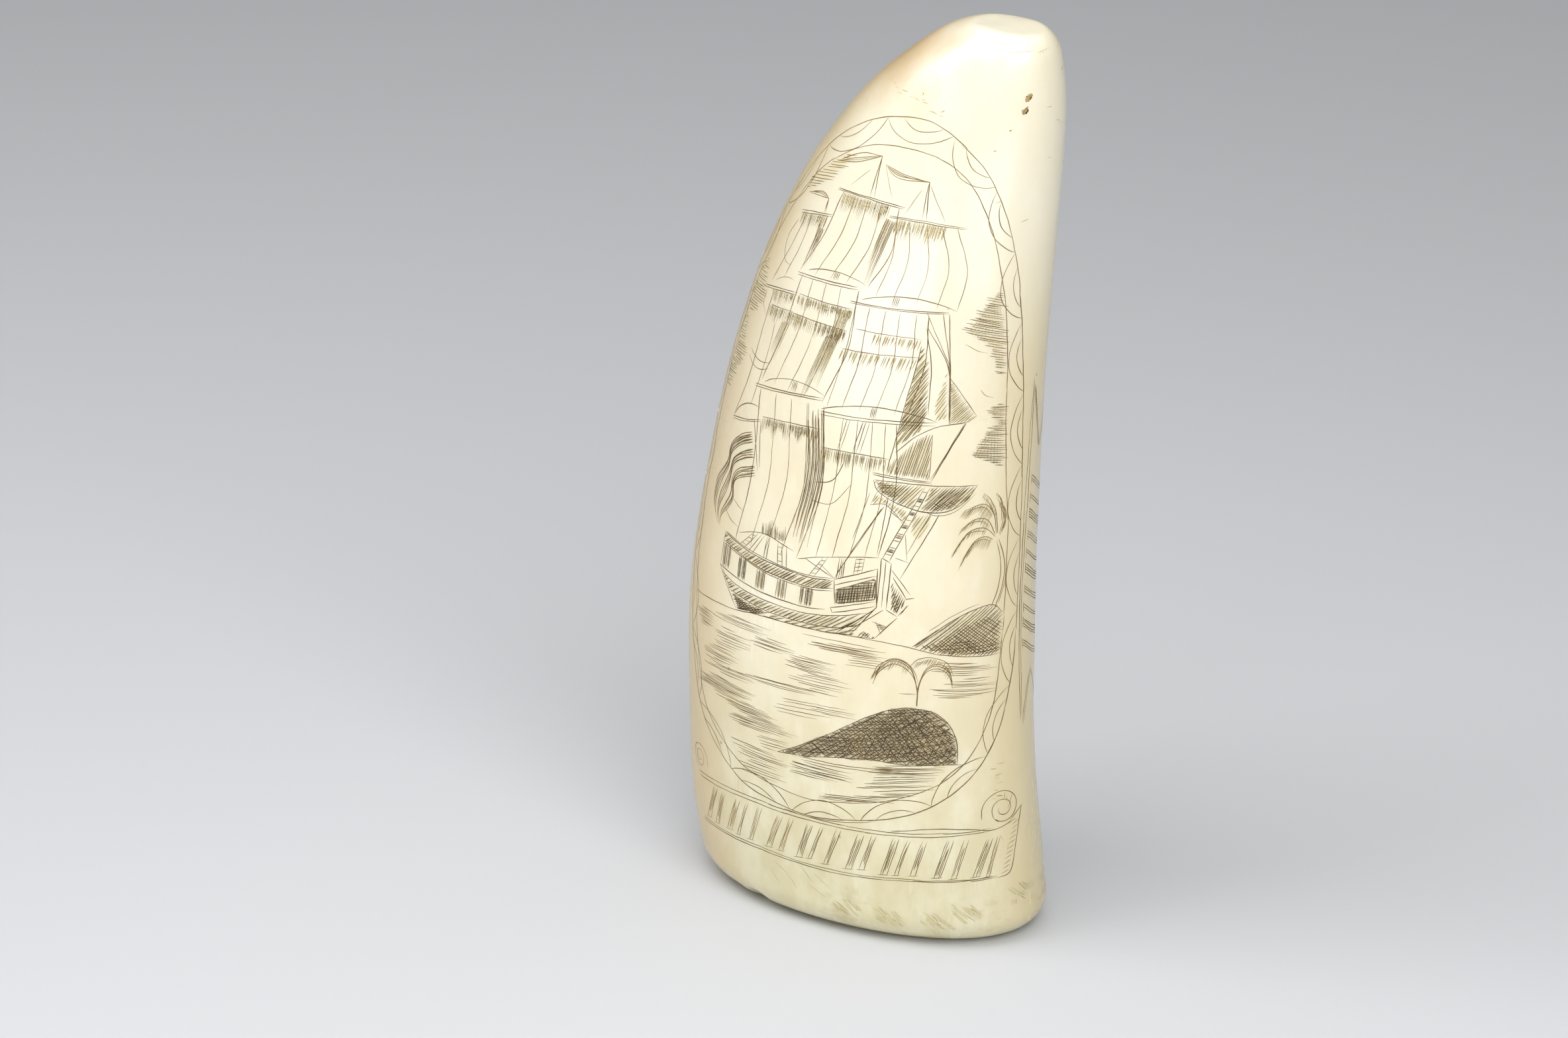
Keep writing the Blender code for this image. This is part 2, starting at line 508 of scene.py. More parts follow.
# The ivory: masks first, then the colours laid over each other
ivory, tree, shader = new_material("ivory")
place = add(tree, "ShaderNodeTexCoord", out="Object")
across, _, height = place.parts()
facing_x, _, facing_z = attribute(tree, "facing").parts()
inward = attribute(tree, "flat_at").parts()[1]
cloud = grain(place, (60.0, 60.0, 34.0), 4.0)
patch = grain(place, (24.0, 24.0, 15.0), 2.0)
mottle = grain(place, (230.0, 230.0, 130.0))
upright = fade(abs(facing_z), 0.80, 0.40)
streak = (grain(place, (900.0, 900.0, 26.0)) - 0.5) * upright + 0.5
hair = grain(place, (2600.0, 2600.0, 70.0), 2.0) * upright

root_colour = blend(fade(mottle, 0.34, 0.68), (0.612, 0.556, 0.330), (0.700, 0.655, 0.448))
# The outer and hollow masks tint the sides by the way they face: partly tan patina, partly painted shade
# where the sides turn away
outer = facing_x + (patch - 0.5) * 0.30 + height * 1.2
hollow = fade(facing_x - patch * 0.30, 0.36, 0.80, 0.72) * fade(height, 0.128, 0.090)
smear = fade(grain(place, (150.0, 150.0, 240.0)), 0.52, 0.68) * fade(height, 0.0115, 0.0060)
smear = smear * fade(across, -0.012, 0.006, 0.42)
tip_gap = place.vector("DISTANCE", (0.006, -0.003, 0.147)) + (cloud - 0.5) * 0.022
ring_wave = (inward * 8200.0 + cloud * 9.0).calc("SINE")
sawn = fade(inward, FLAT_SHIFT, FLAT_SHIFT - 0.0015)
bore = fade(inward, FLAT_SHIFT - 0.0085, FLAT_SHIFT - 0.0125)
pores = add(tree, "ShaderNodeTexVoronoi", {"Vector": place, "Scale": 210.0}, "Distance")
speck = fade(pores, 0.085, 0.030, 0.55) * fade(grain(place, (90.0, 90.0, 90.0), 1.0), 0.60, 0.70)

colour = blend(fade(cloud, 0.35, 0.68), (0.790, 0.705, 0.490), (0.840, 0.775, 0.590))
for share, layer in (
    # Dentine: warm cream with paler and yellower clouds and fine upright striae
    (fade(patch, 0.50, 0.72, 0.50), (0.755, 0.660, 0.430)),
    (fade(mottle, 0.50, 0.74, 0.38), (0.875, 0.835, 0.680)),
    (fade(mottle, 0.46, 0.24, 0.22), (0.710, 0.625, 0.405)),
    (fade(streak, 0.50, 0.78, 0.06), (0.640, 0.530, 0.310)),
    (fade(streak, 0.50, 0.24, 0.03), (0.900, 0.870, 0.750)),
    # Paler to the tip as a painted highlight, green-yellow patina over the root, tan on both edges as patina
    # and painted shade, and a tan stain on the tip
    # Painted highlight: the colour turns paler and whiter up towards the tip
    (fade(height, 0.070, 0.125, 0.45), (0.900, 0.865, 0.725)),
    (fade(height + cloud * 0.016, 0.064, 0.014, 0.85), root_colour),
    # Patina and painted shade: tan on the outer edge and on the hollow edge
    (fade(outer, -0.15, -0.75, 0.92), (0.615, 0.465, 0.225)),
    (hollow, (0.675, 0.565, 0.325)),
    (smear, (0.420, 0.340, 0.155)),
    (fade(tip_gap, 0.017, 0.003, 0.65), (0.585, 0.385, 0.170)),
    # Growth rings on the sawn face, the brown cavity, and dark specks in open pores
    (sawn * fade(ring_wave, -0.6, 1.0, 0.5), (0.560, 0.450, 0.260)),
    (bore * 0.85, (0.300, 0.210, 0.110)),
    (speck, (0.200, 0.130, 0.060)),
):
    colour = blend(share, colour, layer)
colour.join(shader, "Base Color")

gloss = fade(streak, 0.2, 0.9, 0.05) + fade(cloud, 0.2, 0.8, 0.10) + 0.17
(gloss + sawn * 0.25 + bore * 0.25).join(shader, "Roughness")
bump(streak * 0.15 + hair * 0.14 + ring_wave * sawn * 0.4 - speck * 1.5, 0.25, 0.00004, shader)
shader.inputs["Coat Weight"].default_value = 0.4
shader.inputs["Coat Roughness"].default_value = 0.26
shader.inputs["Subsurface Weight"].default_value = 0.18
shader.inputs["Subsurface Radius"].default_value = (1.0, 0.65, 0.35)
shader.inputs["Subsurface Scale"].default_value = 0.0025

spine_rows = tooth_spine()
spine_mesh = bpy.data.meshes.new("spine")
spine_links = [(k, k + 1) for k in range(len(spine_rows) - 1)]
spine_mesh.from_pydata([(row[0] * MM, 0.0, row[1] * MM) for row in spine_rows], spine_links, [])
for column, label in enumerate(SPINE_COLUMNS, 2):
    scale = 1.0 if label == "slope" else MM
    values = [row[column] * scale for row in spine_rows]
    spine_mesh.attributes.new(label, "FLOAT", "POINT").data.foreach_set("value", values)
tooth = bpy.data.objects.new("polished_tooth", spine_mesh)
scene.collection.objects.link(tooth)
run_nodes(tooth, loft_tree(), {
    "Columns": COLUMNS,
    "Oval exponent": OVAL_EXPONENT,
    "Waviness": WAVINESS * MM,
    "Wave size": WAVE_SIZE * MM,
    "Seed": 4.0,
    "Flat shift": FLAT_SHIFT,
    "Ivory": ivory,
})
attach(tooth, "root")
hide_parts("tooth")


# The border: an oval cut with a sail needle in two rings, and pairs of half moons between them
# that stand on the outer ring. Lamp black and grease fill every cut and are wiped level.

# Every cut is drawn flat, in millimetres: round the tooth from the middle of its face, and up
STEP = 0.55
CURVE_STEPS = 10
BOW_STEPS = 16
FINE_STEPS = 400
FINENESS = 0.66
RIDGE_TO_WIDTH = 0.05
LIFT = 0.004 * MM
FILM_LIFT = 0.0012 * MM
MARGIN = 0.2 * MM

# How far a line wavers, swells and quivers along its run
WAVER_RUN = 1.9
SWELL_RUN = 2.1
QUIVER_RUN = 0.6

# Handling wears the cuts and painted glare pales them: where that starts, up the tooth and round it, and
# over what run
WEAR_AND_GLARE_UP = (78.0, 50.0)
WEAR_AND_GLARE_ROUND = (14.0, 14.0)

# A rubbed film of ink lies between close pulls: how much paler it is than they are
FILM_PALER = 1.15

BORDER_OUTER = (
    (33.3, 53.7), (32.4, 67), (29.9, 86.3), (27.3, 99.4), (24, 110.4), (20, 119.4), (14.2, 128),
    (8, 133.4), (1, 136.9), (-4.6, 136.8), (-10.6, 134.6), (-16.2, 129.9), (-20.2, 123.2),
    (-23.6, 113.6), (-26.4, 100.4), (-28.6, 85.4), (-29.1, 70), (-28.4, 54), (-26.8, 41.6), (-23.5, 31),
    (-15.3, 23.6), (-7.6, 21.2), (0.8, 20.5), (12.2, 22.3), (20.2, 25.4), (26, 29.9), (30.6, 37),
    (32.8, 45.4))
BORDER_INNER = (
    (30.5, 57), (29.4, 70.9), (27.3, 82.9), (24.4, 100), (21.5, 110.2), (16.9, 120), (12, 126.8),
    (6.1, 131.2), (-0.3, 132.7), (-6.4, 132.2), (-12, 129.4), (-16.6, 124.6), (-20.2, 117), (-23, 107.6),
    (-25.2, 95), (-26.4, 82), (-26.9, 68), (-26, 50.4), (-24, 37.4), (-20.4, 30.6), (-13.4, 25.7),
    (-6.2, 24), (1.2, 23.6), (12.6, 25.6), (20.6, 28.8), (25.4, 32.9), (29, 39.4), (30.3, 47))
MOON_PITCH = 12.2
MOON_RISE = 2.6
MOON_START = 0.79

needle = random.Random(5)
cuts = []
films = []


def mix(a, b, share):
    """A point part of the way from one to another."""
    return (a[0] + (b[0] - a[0]) * share, a[1] + (b[1] - a[1]) * share)


def run_of(path):
    """The length so far at each point of a path."""
    runs = [0.0]
    for a, b in zip(path, path[1:]):
        runs.append(runs[-1] + math.dist(a, b))
    return runs


def along(path, count):
    """A number of evenly spaced points on a path of straight runs."""
    runs = run_of(path)
    points = []
    k = 0
    for n in range(count):
        want = runs[-1] * n / (count - 1)
        while k < len(path) - 2 and runs[k + 1] < want:
            k += 1
        span = max(runs[k + 1] - runs[k], 1e-6)
        points.append(mix(path[k], path[k + 1], (want - runs[k]) / span))
    return points


def part_of(path, start, end):
    """The stretch of a path between two shares of its length."""
    count = max(4, int(run_of(path)[-1] * (end - start) / STEP * 2))
    fine = along(path, FINE_STEPS)
    last = FINE_STEPS - 1
    return [fine[min(last, int(last * (start + (end - start) * n / (count - 1))))] for n in range(count)]


def curve(*points):
    """A smooth path through a few points."""
    ends = [mix(points[1], points[0], 2.0)] + list(points) + [mix(points[-2], points[-1], 2.0)]
    path = []
    for a, b, c, d in zip(ends, ends[1:], ends[2:], ends[3:]):
        for n in range(CURVE_STEPS):
            t = n / CURVE_STEPS
            pull = (-0.5 * t + t * t - 0.5 * t ** 3, 1 - 2.5 * t * t + 1.5 * t ** 3,
                    0.5 * t + 2 * t * t - 1.5 * t ** 3, -0.5 * t * t + 0.5 * t ** 3)
            path.append(tuple(sum(w * p[axis] for w, p in zip(pull, (a, b, c, d))) for axis in (0, 1)))
    path.append(tuple(points[-1]))
    return path


def bow(a, b, rise):
    """An arc between two points that stands out to the left of the way from a to b."""
    length = math.dist(a, b)
    side = (-(b[1] - a[1]) / length * rise, (b[0] - a[0]) / length * rise)
    path = []
    for n in range(BOW_STEPS + 1):
        t = n / BOW_STEPS
        out = math.sin(math.pi * t) ** 0.8
        point = mix(a, b, t)
        path.append((point[0] + side[0] * out, point[1] + side[1] * out))
    return path


def wear_and_glare(value, zone):
    """How much paler a cut that starts here is made, for wear and painted glare: 0 before the zone and 1
    past it.
    """
    return min(1.0, max(0.0, (value - zone[0]) / zone[1]))


def cut(path, width=0.20, tone=0.25, taper=(0.8, 1.6), wobble=0.05, into=cuts):
    """One pull of the needle: it enters, swells, wavers and lifts out."""
    length = run_of(path)[-1]
    if length < 0.35:
        return
    points = along(path, max(4, int(length / STEP) + 2))
    phases = [needle.uniform(0, 2 * math.pi) for _ in range(4)]
    # Painted highlight with wear: cuts turn paler and thinner up the tooth and to the right
    wear_and_glare_up = wear_and_glare(path[0][1], WEAR_AND_GLARE_UP)
    wear_and_glare_side = wear_and_glare(path[0][0], WEAR_AND_GLARE_ROUND)
    own_tone = tone + needle.uniform(-0.10, 0.10) + 0.16 * wear_and_glare_up + 0.07 * wear_and_glare_side
    own_width = width * FINENESS * needle.uniform(0.82, 1.15) * (1.0 - 0.10 * wear_and_glare_up)
    start = min(taper[0], length * 0.3)
    end = min(taper[1], length * 0.45)
    line = []
    for n, (x, y) in enumerate(points):
        before = points[max(0, n - 1)]
        after = points[min(len(points) - 1, n + 1)]
        span = max(math.dist(before, after), 1e-6)
        far = length * n / (len(points) - 1)
        quivers = [math.sin(far / QUIVER_RUN + phase) for phase in (phases[1], phases[3])]
        waver = wobble * (0.8 * math.sin(far / WAVER_RUN + phases[0]) + 0.35 * quivers[0])
        x -= (after[1] - before[1]) / span * waver
        y += (after[0] - before[0]) / span * waver
        swell = 1.0 + 0.16 * math.sin(far / SWELL_RUN + phases[2]) + 0.08 * quivers[1]
        enter = 0.45 + 0.55 * min(1.0, far / start)
        leave = 0.25 + 0.75 * min(1.0, (length - far) / end)
        line.append((x, y, own_width * swell * enter * leave, own_tone + 0.25 * (1 - leave)))
    into.append(line)


def rub(path, width, tone, taper):
    """Thin ink that is left in the scratches between close pulls."""
    cut(path, width, tone, taper, 0.0, films)


def outline(path, width=0.20, tone=0.25, reach=26.0, wobble=0.05, slip=0.10):
    """A long line, made of several pulls that overlap and don't quite meet."""
    length = run_of(path)[-1]
    at = 0.0
    while at < length - 0.5:
        pull = reach * needle.uniform(0.6, 1.3)
        start = max(0.0, at - needle.uniform(0.3, 1.4)) / length
        end = min(1.0, (at + pull) / length)
        move = (needle.uniform(-slip, slip), needle.uniform(-slip, slip))
        cut([(x + move[0], y + move[1]) for x, y in part_of(path, start, end)], width, tone, wobble=wobble)
        at += pull


def line_tree():
    """Geometry nodes that lay flat cuts on the tooth as fine ribs of ink with a low ridge."""
    tree, given = new_tree("engraved_line", {
        "Tooth": "Object", "Flat shift": "Float", "Ridge to width": "Float", "Lift": "Float",
        "Low corner": "Vector", "Corner spans": "Vector", "Ink": "Material"})
    drawn = store(given["Geometry"], "flat_here", position(tree), "FLOAT_VECTOR")
    flat_here = named(tree, "flat_here", "FLOAT_VECTOR")
    drawn = add(tree, "GeometryNodeMeshToCurve", {"Mesh": drawn})
    drawn = store(drawn, "flat_way", add(tree, "GeometryNodeInputTangent"), "FLOAT_VECTOR")
    skin = add(tree, "GeometryNodeObjectInfo", {"Object": given["Tooth"]}, "Geometry")
    look_at = flat_here.vector("ADD", vector_of(tree, given["Flat shift"], given["Flat shift"]))

    def of_skin(value):
        flat_map = named(tree, "flat", "FLOAT_VECTOR")
        sockets = {"Mesh": skin, "Value": value, "UV Map": flat_map, "Sample UV": look_at}
        return add(tree, "GeometryNodeSampleUVSurface", sockets, "Value", data_type="FLOAT_VECTOR")

    # The middle line of each cut, a hair above the skin
    normal = add(tree, "GeometryNodeInputNormal")
    drawn = store(drawn, "out_way", of_skin(normal), "FLOAT_VECTOR")
    out_way = named(tree, "out_way", "FLOAT_VECTOR")
    drawn = moved(drawn, Position=of_skin(position(tree)).vector("ADD", out_way.scaled(given["Lift"])))
    drawn = add(tree, "GeometryNodeSetCurveNormal", {"Curve": drawn, "Normal": out_way}, mode="FREE")

    # Its three-sided rib
    rib = add(tree, "GeometryNodeCurvePrimitiveCircle", {"Resolution": 3}, "Curve", mode="RADIUS")
    rib = store(rib, "side", add(tree, "GeometryNodeInputIndex") - 1.0)
    side = named(tree, "side")
    ridge = (1.0 - abs(side)) * given["Ridge to width"]
    rib = moved(rib, Position=vector_of(tree, ridge, side * 0.5))
    width = named(tree, "width")
    sockets = {"Curve": drawn, "Profile Curve": rib, "Scale": width, "Fill Caps": True}
    band = add(tree, "GeometryNodeCurveToMesh", sockets)

    # Its place on the piece's own map, which spans the drawing
    way_x, way_y, _ = named(tree, "flat_way", "FLOAT_VECTOR").parts()
    aside = vector_of(tree, way_y, way_x * -1.0).scaled(side * 0.5 * width)
    flat = flat_here.vector("ADD", aside).vector("SUBTRACT", given["Low corner"])
    band = store(band, "OFBake", flat.vector("DIVIDE", given["Corner spans"]), "FLOAT2", "CORNER")
    band = add(tree, "GeometryNodeSetShadeSmooth", {"Geometry": band, "Shade Smooth": False})
    return close_tree(band, ("flat_here", "flat_way", "out_way", "side", "width"), given["Ink"])


def ink_material(name, *colours):
    """Lamp black and grease, from where it lies thick (tone 0) to where it lies thin and pale (tone 1.5)."""
    material, tree, shader = new_material(name)
    place = add(tree, "ShaderNodeTexCoord", out="Object")
    cloud = noise(place, 260.0, 3.0)
    grit = noise(place, 2400.0, 2.0)
    tone = attribute(tree, "tone", "Fac") + (cloud - 0.5) * 0.5 + (grit - 0.5) * 0.4
    ramp = new_node(tree, "ShaderNodeValToRGB", {"Fac": tone / 1.5})
    stops = ramp.color_ramp.elements
    stops.new(0.28)
    stops.new(0.62)
    for stop, colour in zip(stops, colours):
        stop.color = opaque(colour)
    Wire(ramp.outputs["Color"]).join(shader, "Base Color")
    sockets = {"Value": grit, "To Min": 0.34, "To Max": 0.58}
    add(tree, "ShaderNodeMapRange", sockets).join(shader, "Roughness")
    bump(grit, 0.3, 0.00002, shader)
    shader.inputs["Specular IOR Level"].default_value = 0.25
    return material


line_nodes = line_tree()
ink = ink_material(
    "rubbed_ink", (0.050, 0.034, 0.013), (0.185, 0.118, 0.034), (0.465, 0.345, 0.150), (0.72, 0.62, 0.36))
film = ink_material(
    "ink_film", (0.055, 0.044, 0.026), (0.195, 0.150, 0.072), (0.430, 0.366, 0.236), (0.74, 0.66, 0.43))


def engrave(name, filling=ink, lines=cuts, ridge=RIDGE_TO_WIDTH, lift=LIFT):
    """Makes one piece of all the cuts drawn so far, laid on the tooth and filled."""
    places = []
    edges = []
    widths = []
    tones = []
    for line in lines:
        first = len(places)
        edges += [(first + n, first + n + 1) for n in range(len(line) - 1)]
        for x, y, width, tone in line:
            places.append((x * MM, y * MM, 0.0))
            widths.append(width * MM)
            tones.append(tone)
    lines.clear()
    mesh = bpy.data.meshes.new(name)
    mesh.from_pydata(places, edges, [])
    for label, values in (("width", widths), ("tone", tones)):
        mesh.attributes.new(label, "FLOAT", "POINT").data.foreach_set("value", values)
    low = [min(p[axis] for p in places) - MARGIN for axis in (0, 1)]
    high = [max(p[axis] for p in places) + MARGIN for axis in (0, 1)]
    piece = bpy.data.objects.new(name, mesh)
    scene.collection.objects.link(piece)
    run_nodes(piece, line_nodes, {
        "Tooth": tooth,
        "Flat shift": FLAT_SHIFT,
        "Ridge to width": ridge,
        "Lift": lift,
        "Low corner": (low[0], low[1], 0.0),
        "Corner spans": (high[0] - low[0], high[1] - low[1], 1.0),
        "Ink": filling,
    })
    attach(piece, "root")


def ring_through(points):
    """A closed smooth ring through its points."""
    return curve(*points[-2:], *points, *points[:2])[2 * CURVE_STEPS:-CURVE_STEPS]


def ring_side(ring, height, side):
    """How far round a ring lies at a height, on its right (1) or its left (-1)."""
    level = [x for x, y in ring if abs(y - height) < 1.2 and (x - 1.0) * side > 0]
    return sum(level) / len(level)


outer_ring = ring_through(BORDER_OUTER)
inner_ring = ring_through(BORDER_INNER)
outline(outer_ring, 0.20, 0.30)
outline(part_of(outer_ring, 0.80, 0.99), 0.16, 0.38, slip=0.25)
outline(inner_ring, 0.20, 0.32)
moons = round(run_of(outer_ring)[-1] / MOON_PITCH)
marks = along(outer_ring, 2000)
for k in range(moons):
    for foot, rise in ((0.48, MOON_RISE), (0.28, MOON_RISE * 0.42)):
        ends = []
        for side in (-1, 1):
            at = (k + MOON_START + side * foot * needle.uniform(0.95, 1.05)) / moons % 1.0
            ends.append(marks[int((len(marks) - 1) * at)])
        cut(bow(*ends, rise * needle.uniform(0.85, 1.08)), 0.19, 0.34, wobble=0.07)
engrave("engraved_border")


# The ship's sails: three masts of square sails cut in outline, each with a double yard at its
# head, cloth seams, reef bands, a bowed foot, and shade of short pulls under every yard.

# How often a pull of shade has film beside it, and the greatest width of that film
SHADE_RUBBED = 0.6
SHADE_RUB_WIDTH = 0.66


def shade(path, fall, gap=0.40, width=0.17, tone=0.22, lean=0.0, least=0.4):
    """Short pulls that hang from a path, long and short in turn."""
    count = max(2, int(run_of(path)[-1] / gap * 1.6))
    phase = needle.uniform(0, 2 * math.pi)
    for n, (x, y) in enumerate(along(path, count)):
        x += needle.uniform(-0.25, 0.25) * gap
        swell = 0.3 + 0.3 * math.sin(0.55 * n + phase) + needle.uniform(0, 0.4)
        drop = fall * (least + (1.1 - least) * swell)
        if needle.random() < SHADE_RUBBED:
            far = drop * needle.uniform(0.5, 0.9)
            broad = min(gap * 1.5, SHADE_RUB_WIDTH)
            rub([(x, y), (x + lean * far, y - far)], broad, tone + FILM_PALER, (0.1, abs(far)))
        own_tone = tone + needle.uniform(-0.05, 0.22)
        cut([(x, y), (x + lean * drop, y - drop)], width * 0.68, own_tone, (0.15, abs(drop) * 0.5), 0.02)


def bar(path, thick=0.38, width=0.20, tone=0.15):
    """A yard or a rail, as two lines close together."""
    outline(path, width, tone, wobble=0.04, slip=0.05)
    low = [(x + needle.uniform(-0.02, 0.02), y - thick) for x, y in path]
    outline(low, width * 0.9, tone, wobble=0.05, slip=0.08)


def cloth(head, foot, belly, seams=(), ends=(0, 1), width=0.17, tone=0.28):
    """The seams and leeches of a square sail between its head and its foot, blown to the right."""
    for share in (*seams, *ends):
        top = mix(*head, share)
        low = mix(*foot, share)
        middle = mix(top, low, 0.52)
        swing = belly * (0.55 + 0.45 * share)
        broad = width * (1.15 if share in (0, 1) else 0.95)
        cut(curve(top, (middle[0] + swing, middle[1]), low), broad, tone, wobble=0.06)


def foot_bow(left, right, rise, peg=0.5, tone=0.25):
    """The bowed foot of a sail, and the mast that shows in the gap under it."""
    outline(bow(left, right, rise), 0.19, tone, wobble=0.04)
    at = mix(left, right, peg)
    height = rise * 0.9
    for k in range(4):
        x = at[0] + 0.26 * (k - 1.5)
        cut([(x + 0.12, at[1] + height), (x, at[1] - 0.3)], 0.17, 0.15, wobble=0.02)


needle.seed(11)

# Main topgallant
bar([(-10.1, 124.5), (-4, 124.4), (2.2, 123.9)], 0.32)
shade([(-8.6, 124.1), (-0.3, 123.8)], 3.2, 0.42, 0.18, 0.28, 0.03, 0.55)
cloth(((-8.9, 124.2), (1.3, 123.6)), ((-12.3, 110.6), (0.3, 110.6)), 1.5, (0.24, 0.47, 0.7))
shade([(-0.2, 121.8), (1.4, 121.4)], 10.4, 0.25, 0.18, 0.14, -0.1, 0.45)
foot_bow((-10.7, 111.1), (-0.2, 110.9), 1.1, 0.5)

# Fore topgallant
bar([(0.1, 122.3), (6, 122.2), (12.5, 121.6)], 0.3, 0.18, 0.24)
shade([(1.7, 121.9), (9.4, 121.7)], 3.2, 0.5, 0.19, 0.34, 0.03, 0.65)
cloth(((1.6, 121.9), (11, 121.4)), ((1.9, 109.3), (14.7, 108.4)), 1.7, (0.22, 0.5, 0.76), width=0.16,
      tone=0.34)
foot_bow((-0.2, 108.6), (14.7, 108.3), 1.5, 0.36, 0.32)

# Mizzen topgallant
bar([(-16.4, 119.1), (-13, 119.8), (-9.5, 120.3)], 0.3)
shade([(-15.8, 119), (-10.2, 119.9)], 2.5, 0.44, 0.19, 0.28, -0.05, 0.7)
cut(curve((-16.4, 117.6), (-17.6, 114.4), (-16.6, 111.2), (-14.7, 110.6)), 0.17, 0.3)
cut(curve((-14.9, 118.8), (-15.9, 113.6), (-18.3, 107)), 0.18, 0.25)
cut(curve((-13.4, 118.9), (-14, 113.6), (-15.5, 108.4)), 0.17, 0.3)
cut(curve((-11.2, 119.4), (-11.5, 115.4), (-12.2, 111)), 0.17, 0.22)
shade([(-11.1, 117.8), (-10.2, 117.8)], 5.6, 0.24, 0.17, 0.15, -0.16, 0.6)
cut(bow((-17.2, 107.4), (-13, 108.6), 0.5), 0.17, 0.32)

# Main topsail, with two reef bands
bar([(-12.7, 110.2), (-7, 110.2), (-1.2, 110.4)], 0.36)
cloth(((-11.7, 109.8), (-1, 109.9)), ((-15.5, 91.4), (-3.3, 90.8)), 1.5, (0.22, 0.46, 0.72))
outline([(-11.3, 106.8), (-6.4, 106.7), (-1.1, 106.6)], 0.17, 0.28)
shade([(-11.2, 106.7), (-1.3, 106.5)], 2.1, 0.54, 0.19, 0.34, -0.02, 0.65)
outline([(-11.9, 103.8), (-6.4, 103.4), (-1.3, 103.2)], 0.18, 0.25)
shade([(-11.8, 103.6), (-1.6, 103.1)], 2.5, 0.52, 0.2, 0.28, -0.06, 0.7)
shade([(-4.7, 101.8), (-2.4, 102.4)], 11, 0.33, 0.17, 0.18, -0.24, 0.55)
shade([(-3.4, 106.2), (-1.5, 106.4)], 8.4, 0.32, 0.17, 0.22, -0.16, 0.5)
foot_bow((-14.8, 91.3), (-3.1, 91.9), 1.6, 0.52)

# Fore topsail, with two reef bands and a shaded leech
bar([(-2, 108), (5.6, 107.9), (13.6, 108.1)], 0.34)
cloth(((-0.9, 107.6), (10.8, 107.3)), ((-2.4, 90.2), (10.7, 90.8)), 1.1, (0.2, 0.42, 0.62, 0.84))
outline([(0, 103.7), (5.4, 103.5), (10.8, 103.4)], 0.17, 0.32)
shade([(3.4, 103.4), (10.6, 103.3)], 1.9, 0.7, 0.21, 0.3, -0.18, 0.7)
outline([(-1.6, 100.1), (4.6, 100.2), (10.9, 100.4)], 0.18, 0.26)
shade([(-1.4, 100), (10.5, 100.2)], 2.3, 0.78, 0.22, 0.28, -0.22, 0.75)
foot_bow((-3.2, 89.8), (15.4, 90.1), 1.7, 0.46)

# Mizzen topsail and the small sail under it
bar([(-19.9, 105.9), (-15.6, 106.5), (-11.7, 106.9)], 0.34)
shade([(-17.2, 106), (-12, 106.6)], 2.2, 0.48, 0.19, 0.26, -0.04, 0.7)
outline([(-16.9, 103.5), (-11.9, 103.9)], 0.17, 0.24)
shade([(-17, 103.4), (-12, 103.8)], 2.5, 0.46, 0.2, 0.24, -0.08, 0.7)
cut(curve((-17.2, 105.2), (-17.9, 97.6), (-18.9, 89.9), (-21, 83.6)), 0.19, 0.24)
cut(curve((-15.1, 101), (-15.4, 95.2), (-17.1, 86.4)), 0.17, 0.3)
shade([(-13.4, 101.8), (-12, 102)], 7.4, 0.34, 0.17, 0.2, -0.28, 0.5)
cut(curve((-18.9, 105.2), (-19.1, 103.2), (-17.9, 101.4)), 0.16, 0.32)
cut(bow((-19.6, 95.4), (-14.4, 94.6), -0.9), 0.18, 0.28)
cut(bow((-19.7, 94.2), (-14.6, 93.6), -1.1), 0.18, 0.28)
bar([(-21.2, 83.4), (-18, 83.9), (-14.2, 85)], 0.34)
cut(bow((-20.8, 83.8), (-14.8, 86.8), 1.2), 0.18, 0.26)

# Main course, dark along its lee side
bar([(-16.8, 90.4), (-10.2, 91), (-3.2, 91.5)], 0.42)
outline([(-14.1, 85.6), (-8.6, 86), (-2.8, 86.4)], 0.18, 0.24)
shade([(-13.9, 85.5), (-3, 86.2)], 2.9, 0.34, 0.17, 0.22)
cloth(((-15.3, 89.9), (-2.8, 90.2)), ((-16.3, 63.8), (-4.1, 64.2)), 2.3, (0.27, 0.52, 0.76))
for k in range(11):
    x = -5.3 + 0.3 * k
    top = 91.3 - needle.uniform(0, 5)
    lee = curve((x - 0.2, top), (x + 1.1, 79), (x - 0.1, needle.uniform(64.8, 70)))
    cut(lee, 0.17, 0.22, (0.6, 4), 0.04)
    if k % 2:
        rub(lee, 0.5, 1.24, (2, 4))
shade([(-10.8, 66.6), (-6.4, 66.4)], -2.9, 0.42, 0.23, 0.17, 0.1, 0.5)
outline(curve((-15.7, 65.4), (-12.6, 66.4), (-9.6, 66.7), (-4.6, 65.3)), 0.2, 0.18)

# Fore course
bar([(-3.3, 89.3), (4.8, 89.5), (15.2, 90)], 0.4)
outline([(-2.3, 83.6), (3.2, 83.6), (9.1, 83.4)], 0.18, 0.24)
shade([(-2, 83.5), (9, 83.3)], 2.7, 0.54, 0.21, 0.22, -0.03, 0.65)
cloth(((-2, 89), (9.4, 89.2)), ((-4, 64.3), (9.5, 67.1)), 1.3, (0.24, 0.45, 0.66, 0.84), ends=(1,))
for x in (1, 1.5, 3.6, 4.1, 4.7):
    cut([(x + 0.4, 88.9), (x - 0.5, 83.5)], 0.18, 0.2)
cut(curve((-2.4, 77.6), (0.6, 78.6), (2.2, 82.4)), 0.17, 0.32)
cut(curve((-2.7, 74.4), (0.8, 74.6), (3.6, 78.4)), 0.17, 0.32)
outline(curve((-3.8, 64.3), (0.2, 65.5), (4.8, 66.4), (9.7, 67)), 0.2, 0.2)
engrave("engraved_square_sails")


# The masts, flags, stays and head sails: pole masts above the upper yards, a pennant on each,
# a striped ensign astern, and a bowsprit with its hatched sails.

